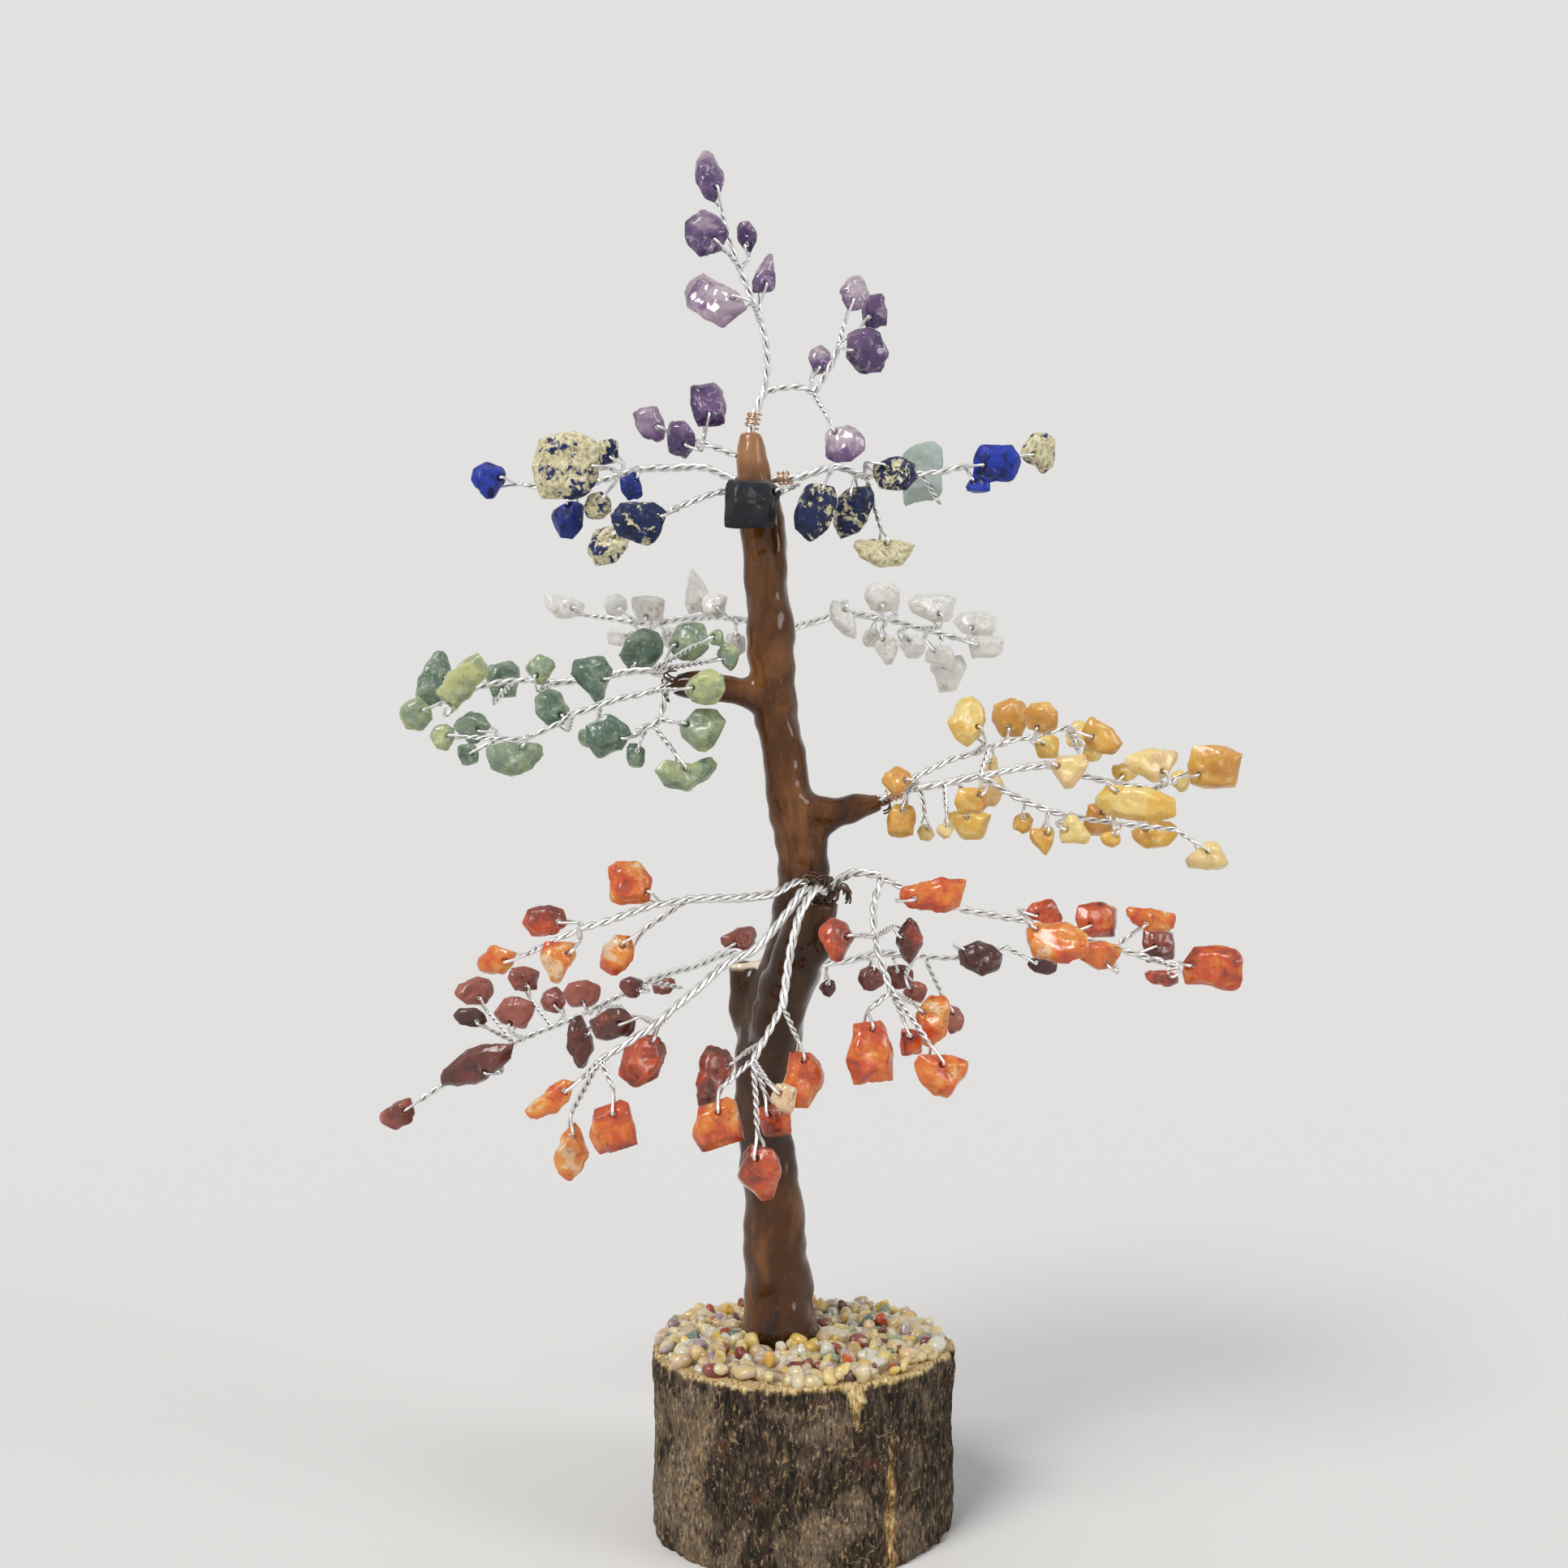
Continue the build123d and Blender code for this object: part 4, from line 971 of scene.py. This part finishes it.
def tone_of(middle, tones, drawn):
    """A chip's tone in the photograph, or the drawn one where the photograph shows no such chip."""
    across, down = photo_spot(middle)
    nearest = min(tones, key=lambda spot: math.hypot(spot[0] - across, spot[1] - down), default=None)
    if nearest and math.hypot(nearest[0] - across, nearest[1] - down) < same_chip_px:
        return tones[nearest]
    return drawn


def wear_surface(group, middle, offset, size):
    """A slow bend, lumps and chipped pits, worked outward from a stone's middle."""
    for vert in group:
        out = (vert.co - middle).normalized()
        bend = noise.noise(out * 1.0 + offset) * 0.11 * size
        lumps = noise.noise(vert.co * 420 + offset) * 0.16 * mm
        chipped = max(0, noise.noise(vert.co * 800 + offset) - 0.25) * -0.5 * mm
        vert.co += out * (bend + lumps + chipped)


def tumble(name, piece_name, body, slot, material, tones, seed,
           voxel=chip_voxel, grains=None, facets=5, deep=facet_deep, deepest=1.0):
    """The chips of a CAD node, worn and pitted, each with its own tone and its own pattern."""
    draw = random.Random(seed)
    bm = remeshed(merged_copy(name), voxel, 3)
    if grains:
        grains(bm)
    tone, kind, rise = mark_layers(bm, "tone", "kind", "rise")
    for group in list(islands(bm)):
        middle = middle_of(group)
        shade = tone_of(middle, tones, draw.random() * deepest)
        own = draw.random()
        offset = Vector((own * 50, own * 31, own * 17))
        size = max((vert.co - middle).length for vert in group)
        worn = [vert for vert in group if near_wire.find(vert.co)[2] > near_strand]
        grind_facets(worn, middle, draw, facets, deep)
        lowest = min(vert.co.z for vert in group)
        height = max(vert.co.z for vert in group) - lowest
        for vert in group:
            vert[tone] = shade
            vert[kind] = own
            vert[rise] = (vert.co.z - lowest) / height
        wear_surface(worn, middle, offset, size)
    wear_round(bm, 0.4)
    finish_mesh(bm, piece_name, body, slot, material, name)


def tumble_sprays(names, slot, material, tones, seed):
    """The stones of some sprays, a piece for each spray."""
    for name in names:
        tumble(name + "_chips", name + "_stones", name + "_spray", slot, material, tones, seed)


# Amethyst: glassy violet quartz, from clear or milky to deep purple, each chip paler towards its
# top. Its chips are polished by the tumbling and hang at the crown and on the twigs beside the tip.
amethyst_tones = {
    (873, 218): 0.6, (868, 288): 0.75, (920, 290): 0.85, (943, 338): 0.45, (878, 372): 0.22,
    (1052, 362): 0.25, (1077, 383): 0.6, (1068, 432): 0.9, (1010, 446): 0.4, (1038, 547): 0.3,
    (872, 500): 0.75, (801, 523): 0.38, (838, 541): 1.0}


def own_noise(paint, scale, detail=4, rough=0.55, warp=0.0, shift=40):
    """Noise that differs from chip to chip, by a shift of its own."""
    moved = paint.shift(paint.place, paint.sums("MULTIPLY", paint.given("kind"), shift))
    return paint.noise(scale, detail, rough, moved, warp)


def paint_amethyst():
    paint = Paint("amethyst")
    clouds = off_middle(paint, own_noise(paint, 200, 3, 0.5, 0.6), 2.4)
    depth = paint.sums("ADD", paint.given("tone"), clouds)
    # Each chip is made paler towards its top and deeper purple towards its bottom.
    depth = paint.sums("SUBTRACT", depth, off_middle(paint, paint.given("rise"), 0.75))
    violet = paint.ramp(depth, {
        0.0: (0.68, 0.58, 0.63), 0.30: (0.44, 0.31, 0.43), 0.62: (0.18, 0.085, 0.25),
        1.0: (0.055, 0.020, 0.12)})
    veils = own_noise(paint, 650, 6, 0.65, 0.8)
    milky = paint.blend(paint.mask(veils, 0.53, 0.66, after=0.65), violet, (0.72, 0.66, 0.72))
    paint.set(base_color=milky, roughness=0.12, transmission_weight=0.5, ior=1.54)
    paint.set(coat_weight=0.4, coat_roughness=0.05)
    paint.bump(own_noise(paint, 800, 4, 0.55), 0.12 * mm, 0.5)
    return paint.material


amethyst = paint_amethyst()
amethyst_sprays = ("amethyst_crown", "amethyst_right", "amethyst_left")
tumble_sprays(amethyst_sprays, "amethyst", amethyst, amethyst_tones, 3)

# Lapis lazuli: opaque ultramarine, clouded and speckled with cream calcite, with gold pyrite.
# The chips take a dull polish. One is black, and one to the right of the trunk is a pale grey-green.
lapis_tones = {
    (603, 592): 0.90, (697, 575): 0.41, (748, 556): 0.47, (778, 600): 0.82, (700, 640): 0.80,
    (736, 624): 0.50, (788, 642): 0.66, (748, 672): 0.42, (926, 622): 1.0, (1004, 627): 0.62,
    (1052, 628): 0.60, (1100, 583): 0.54, (1135, 583): 0.10, (1228, 571): 0.93, (1281, 557): 0.45,
    (1206, 600): 0.46, (1091, 681): 0.34}


def paint_lapis():
    paint = Paint("lapis")
    tone = paint.given("tone")
    clouds = off_middle(paint, own_noise(paint, 230, 3, 0.5, 0.7), 1.4)
    spots = off_middle(paint, own_noise(paint, 780, 5, 0.62, 0.5, 70), 1.9)
    share = paint.sums("ADD", paint.sums("ADD", clouds, spots), off_middle(paint, tone, 1.6))
    deep = paint.ramp(tone, {
        0.40: (0.012, 0.022, 0.12), 0.62: (0.014, 0.022, 0.075), 0.80: (0.014, 0.030, 0.22),
        0.93: (0.018, 0.040, 0.36), 0.98: (0.012, 0.014, 0.014)})
    smoke = paint.mask(own_noise(paint, 500, 5), 0.48, 0.62, after=0.8)
    smoky = paint.blend(smoke, deep, (0.008, 0.010, 0.028))
    cream = paint.ramp(own_noise(paint, 1300, 5, 0.65), {
        0.36: (0.33, 0.29, 0.17), 0.50: (0.62, 0.56, 0.35), 0.66: (0.86, 0.80, 0.55)})
    pale = paint.blend(paint.mask(tone, 0.12, 0.25, 0.85, 0), cream, (0.36, 0.46, 0.45))
    stone = paint.blend(paint.mask(share, 0.0, 0.10, smooth=False), pale, smoky)
    flecks = paint.mask(paint.cells(2100), 0.05, 0.11, 1, 0)
    few = paint.mask(own_noise(paint, 420, 2), 0.52, 0.6)
    golden = paint.blend(paint.sums("MULTIPLY", flecks, few), stone, (0.55, 0.42, 0.18))
    paint.set(base_color=golden, roughness=0.38, specular_ior_level=0.2)
    paint.set(coat_weight=0.15, coat_roughness=0.15)
    paint.bump(own_noise(paint, 1300, 5), 0.18 * mm, 0.8)
    return paint.material


lapis = paint_lapis()
tumble_sprays(("lapis_left", "lapis_right"), "lapis", lapis, lapis_tones, 5)

# Clear quartz: water-clear to frosty stone, with white veils and fractures inside. Its chips
# are tumbled glossy and hang on the two sprays behind the trunk.


def paint_clear_quartz():
    paint = Paint("clear_quartz")
    veils = own_noise(paint, 420, 6, 0.65, 1.0)
    sheets = own_noise(paint, 1300, 5, 0.6, 0.6)
    frost = paint.ramp(veils, {
        0.42: (1.0, 0.99, 0.96), 0.52: (0.94, 0.91, 0.85), 0.62: (0.66, 0.60, 0.52)})
    clear = paint.mask(veils, 0.42, 0.58, 0.28, 0.02)
    paint.set(base_color=frost, roughness=0.15, transmission_weight=clear, ior=1.54)
    paint.set(subsurface_weight=0.3, subsurface_radius=(1.0, 1.0, 1.0), subsurface_scale=1.5 * mm)
    paint.set(coat_weight=0.4, coat_roughness=0.05)
    paint.bump(sheets, 0.22 * mm, 0.6)
    return paint.material


clear_quartz = paint_clear_quartz()
tumble_sprays(("quartz_left", "quartz_right"), "clear_quartz", clear_quartz, {}, 7)

# Green quartz: a translucent stone, mottled from lime through grey-green to dark teal, tumbled
# to a waxy gloss. Its chips hang on the one spray that leaves the left stub.
green_tones = {
    (537, 830): 0.72, (512, 880): 0.22, (570, 840): 0.05, (619, 838): 0.66, (667, 824): 0.3,
    (733, 836): 0.92, (790, 800): 0.8, (850, 790): 0.5, (899, 808): 0.42, (869, 846): 0.16,
    (680, 873): 0.68, (722, 908): 0.6, (747, 906): 0.95, (782, 932): 0.85, (866, 900): 0.4,
    (845, 955): 0.34, (583, 896): 0.62, (545, 908): 0.2, (632, 934): 0.46}


def paint_waxy(name, stops, cloud_scale, reach, vein, vein_share, pale_patch_and_sheen, pale_patch_and_sheen_share,
               through, gloss, scatter):
    """A translucent stone: a ramp of its colours by tone and clouds, veins, and a soft inner glow."""
    paint = Paint(name)
    clouds = off_middle(paint, own_noise(paint, cloud_scale, 5, 0.6, 0.6), reach)
    colour = paint.ramp(paint.sums("ADD", paint.given("tone"), clouds), stops)
    veins = own_noise(paint, cloud_scale * 3.1, 6, 0.66, 1.2, 90)
    dark = paint.blend(paint.mask(veins, 0.54, 0.66, after=vein_share), colour, vein)
    # Pale patches: frosty spots of the stone, and on the green stone partly a painted sheen.
    bruised = own_noise(paint, cloud_scale * 4.3, 5, 0.6, 0.5, 120)
    pale = paint.blend(paint.mask(bruised, 0.55, 0.68, after=pale_patch_and_sheen_share), dark, pale_patch_and_sheen)
    paint.set(base_color=pale, roughness=gloss, transmission_weight=through, ior=1.54)
    paint.set(subsurface_weight=0.35, subsurface_radius=scatter, subsurface_scale=2.2 * mm)
    paint.set(coat_weight=0.5, coat_roughness=0.06)
    paint.bump(own_noise(paint, 1100, 5, 0.6), 0.2 * mm, 0.75)
    return paint.material


# The green stone's strong pale patches are frosty spots and partly a painted sheen.
green_quartz = paint_waxy(
    "green_quartz",
    {0.0: (0.60, 0.62, 0.26), 0.3: (0.38, 0.45, 0.25), 0.6: (0.23, 0.32, 0.22), 1.0: (0.085, 0.165, 0.11)},
    cloud_scale=300, reach=2.0, vein=(0.06, 0.11, 0.065), vein_share=0.60, pale_patch_and_sheen=(0.66, 0.72, 0.58),
    pale_patch_and_sheen_share=0.50, through=0.22, gloss=0.24, scatter=(0.5, 0.9, 0.5))
tumble_sprays(["green_quartz"], "green_quartz", green_quartz, green_tones, 9)

# Yellow quartz: a waxy stone, from pale peach and lemon to golden brown. Its chips are drilled
# and tumbled like the green ones and hang on the one spray that leaves the right stub.
yellow_tones = {
    (1192, 888): 0.35, (1244, 884): 0.85, (1283, 884): 0.78, (1290, 920): 0.6, (1326, 904): 0.3,
    (1355, 910): 0.8, (1346, 926): 0.4, (1318, 951): 0.12, (1420, 942): 0.2, (1498, 945): 0.9,
    (1455, 962): 0.3, (1384, 952): 0.6, (1397, 990): 0.5, (1355, 1009): 1.0, (1423, 1030): 0.75,
    (1490, 1054): 0.15, (1322, 1022): 0.3, (1260, 1013): 0.8, (1284, 1037): 0.8, (1222, 962): 0.2,
    (1196, 986): 0.8, (1106, 963): 0.92, (1111, 1011): 0.85, (1141, 1025): 0.2, (1195, 1016): 0.5,
    (1165, 1024): 0.3}
yellow_quartz = paint_waxy(
    "yellow_quartz",
    {0.0: (0.90, 0.62, 0.33), 0.3: (0.90, 0.70, 0.26), 0.6: (0.84, 0.52, 0.09), 1.0: (0.66, 0.30, 0.04)},
    cloud_scale=210, reach=1.3, vein=(0.62, 0.30, 0.05), vein_share=0.35, pale_patch_and_sheen=(0.96, 0.86, 0.60),
    pale_patch_and_sheen_share=0.35, through=0.15, gloss=0.26, scatter=(1.0, 0.7, 0.3))
tumble_sprays(["yellow_quartz"], "yellow_quartz", yellow_quartz, yellow_tones, 11)

# Carnelian: a glassy stone, orange to red-brown, glowing where it is thin. Its chips hang on the
# low sprays in front, and six of them swing free in loose loops of wire.
carnelian_tones = {
    (776, 1090): 0.3, (672, 1134): 0.6, (613, 1183): 0.21, (684, 1186): 0.15, (761, 1176): 0.22,
    (792, 1304): 0.65, (680, 1356): 0.2, (704, 1420): 0.12, (756, 1388): 0.45, (750, 1262): 0.95,
    (879, 1326): 0.8, (885, 1384): 0.35, (988, 1330): 0.25, (967, 1352): -0.4, (953, 1380): 0.55,
    (937, 1442): 0.72, (1028, 1158): 0.65, (1072, 1296): 0.35, (1159, 1326): 0.25, (1149, 1256): 0.24,
    (1124, 1284): 0.5, (1155, 1103): 0.38, (1121, 1158): 0.88, (1286, 1128): 0.4, (1300, 1160): 0.3,
    (1350, 1134): 0.5, (1356, 1176): 0.3, (1419, 1133): 0.3, (1427, 1164): 0.85, (1498, 1192): 0.42,
    (1430, 1204): 0.6}
carnelian = paint_waxy(
    "carnelian",
    {0.0: (0.93, 0.66, 0.40), 0.03: (0.90, 0.40, 0.07), 0.25: (0.86, 0.21, 0.013),
     0.45: (0.70, 0.085, 0.008), 0.75: (0.28, 0.034, 0.014), 1.0: (0.11, 0.024, 0.014)},
    cloud_scale=230, reach=1.9, vein=(0.20, 0.030, 0.010), vein_share=0.55, pale_patch_and_sheen=(0.95, 0.42, 0.16),
    pale_patch_and_sheen_share=0.20, through=0.3, gloss=0.10, scatter=(1.0, 0.35, 0.12))
carnelian_sprays = ("carnelian_left", "carnelian_low", "carnelian_front", "carnelian_right")
tumble_sprays(carnelian_sprays, "carnelian", carnelian, carnelian_tones, 13)
for body in frame["bodies"]:
    if body.startswith("carnelian_pendant"):
        tumble(body, body + "_stone", body, "carnelian", carnelian, carnelian_tones, 17)

# Red jasper: an opaque stone, brick red to liver brown, polished by the tumbling, with pale
# grey-pink bruises. Its chips hang on the two low sprays behind the trunk.
jasper_tones = {
    (634, 1247): 0.1, (586, 1312): 0.7, (490, 1374): 0.25, (714, 1284): 0.85, (580, 1253): 0.9}


def paint_jasper():
    paint = Paint("red_jasper")
    clouds = off_middle(paint, own_noise(paint, 300, 5, 0.6, 0.5), 1.6)
    bruises = own_noise(paint, 800, 6, 0.65, 0.8, 80)
    colour = paint.ramp(paint.sums("ADD", paint.given("tone"), clouds), {
        0.0: (0.32, 0.085, 0.055), 0.45: (0.165, 0.032, 0.022), 1.0: (0.065, 0.017, 0.013)})
    mask = paint.mask(bruises, 0.55, 0.68, after=0.45)
    bruised = paint.blend(mask, colour, (0.34, 0.17, 0.14))
    paint.set(base_color=bruised, roughness=0.26, coat_weight=0.35, coat_roughness=0.1)
    paint.bump(own_noise(paint, 1100, 5), 0.18 * mm, 0.75)
    return paint.material


red_jasper = paint_jasper()
tumble_sprays(("jasper_left", "jasper_right"), "red_jasper", red_jasper, jasper_tones, 19)

# Gravel: offcuts of the same stones heaped on the sawn top out to its rim, glued and glossy.
# Small grains fill in between the larger stones and lie deeper round the trunk's foot.
pale_gravel = paint_waxy(
    "pale_gravel",
    {0.0: (0.97, 0.92, 0.78), 0.35: (0.93, 0.77, 0.46), 0.7: (0.84, 0.60, 0.24), 1.0: (0.72, 0.53, 0.42)},
    cloud_scale=400, reach=2.2, vein=(0.60, 0.40, 0.17), vein_share=0.3, pale_patch_and_sheen=(0.98, 0.96, 0.88),
    pale_patch_and_sheen_share=0.6, through=0.25, gloss=0.06, scatter=(1.0, 0.8, 0.5))
gravel_paints = {
    "quartz": ("clear_quartz", pale_gravel, 290, 1.0),
    "citrine": ("yellow_quartz", yellow_quartz, 70, 0.6),
    "amethyst": ("amethyst", amethyst, 12, 0.35),
    "aventurine": ("green_quartz", green_quartz, 14, 1.0),
    "carnelian": ("carnelian", carnelian, 12, 0.9),
    "jasper": ("red_jasper", red_jasper, 12, 0.7)}
gravel_edge = bark_radius - 1.5 * mm
gravel_voxel = 0.25 * mm
gravel_facets = 12
gravel_facet_deep = 0.58
gravel_seed = 23
foot_middle = spot_at(962, 1654, 0)
foot_reach = 7.4 * mm
heap_reach = 12 * mm
heap_height = 2.2 * mm
grain_least = 0.8
grain_most = 1.9
grain_shape = (1.5, 1.05, 0.85)


def from_foot(spot):
    """How far a spot is from the middle of the trunk's foot."""
    return math.hypot(spot.x - foot_middle.x, spot.y - foot_middle.y)


def lay_grains(count, seed):
    """A function that adds this many loose grains to a bmesh."""
    draw = random.Random(seed)

    def lay(bm):
        for grain in range(count):
            spot = foot_middle
            while from_foot(spot) < foot_reach:
                away = gravel_edge * math.sqrt(draw.random())
                bearing = draw.uniform(0, 2 * math.pi)
                spot = Vector((away * math.cos(bearing), away * math.sin(bearing), 0))
            size = draw.uniform(grain_least, grain_most) * mm
            heap = max(0, 1 - (from_foot(spot) - foot_reach) / (heap_reach - foot_reach)) * heap_height
            spot.z = wood_high.z + 0.4 * mm + draw.uniform(0.0, 1.0) * mm + draw.random() * heap
            turn = draw.uniform(0, math.pi)
            axis = Vector((draw.random(), draw.random(), 0.3))
            sizes = [share * size for share in grain_shape]
            shape = Matrix.Translation(spot) @ Matrix.Rotation(turn, 4, axis) @ Matrix.Diagonal((*sizes, 1))
            bmesh.ops.create_icosphere(bm, subdivisions=2, radius=1, matrix=shape)

    return lay


for number, (name, (slot, material, count, deepest)) in enumerate(gravel_paints.items()):
    tumble("gravel_" + name, name + "_gravel", "stand", slot, material, {}, gravel_seed + number,
           voxel=gravel_voxel, grains=lay_grains(count, number), facets=gravel_facets,
           deep=gravel_facet_deep, deepest=deepest)

# Glue: the clear bed that the gravel and the trunk's foot are stuck in, poured over the sawn
# top. It has slumped, and is cloudy where it is thick.


def paint_glue():
    paint = Paint("clear_glue")
    cloudy = paint.noise(500, 5)
    colour = paint.ramp(cloudy, {0.35: (0.55, 0.42, 0.27), 0.65: (0.80, 0.72, 0.56)})
    paint.set(base_color=colour, roughness=0.18, transmission_weight=0.3, ior=1.48)
    paint.bump(paint.noise(1200, 4), 0.2 * mm, 0.7)
    return paint.material


repaint("glue_bed", paint_glue())
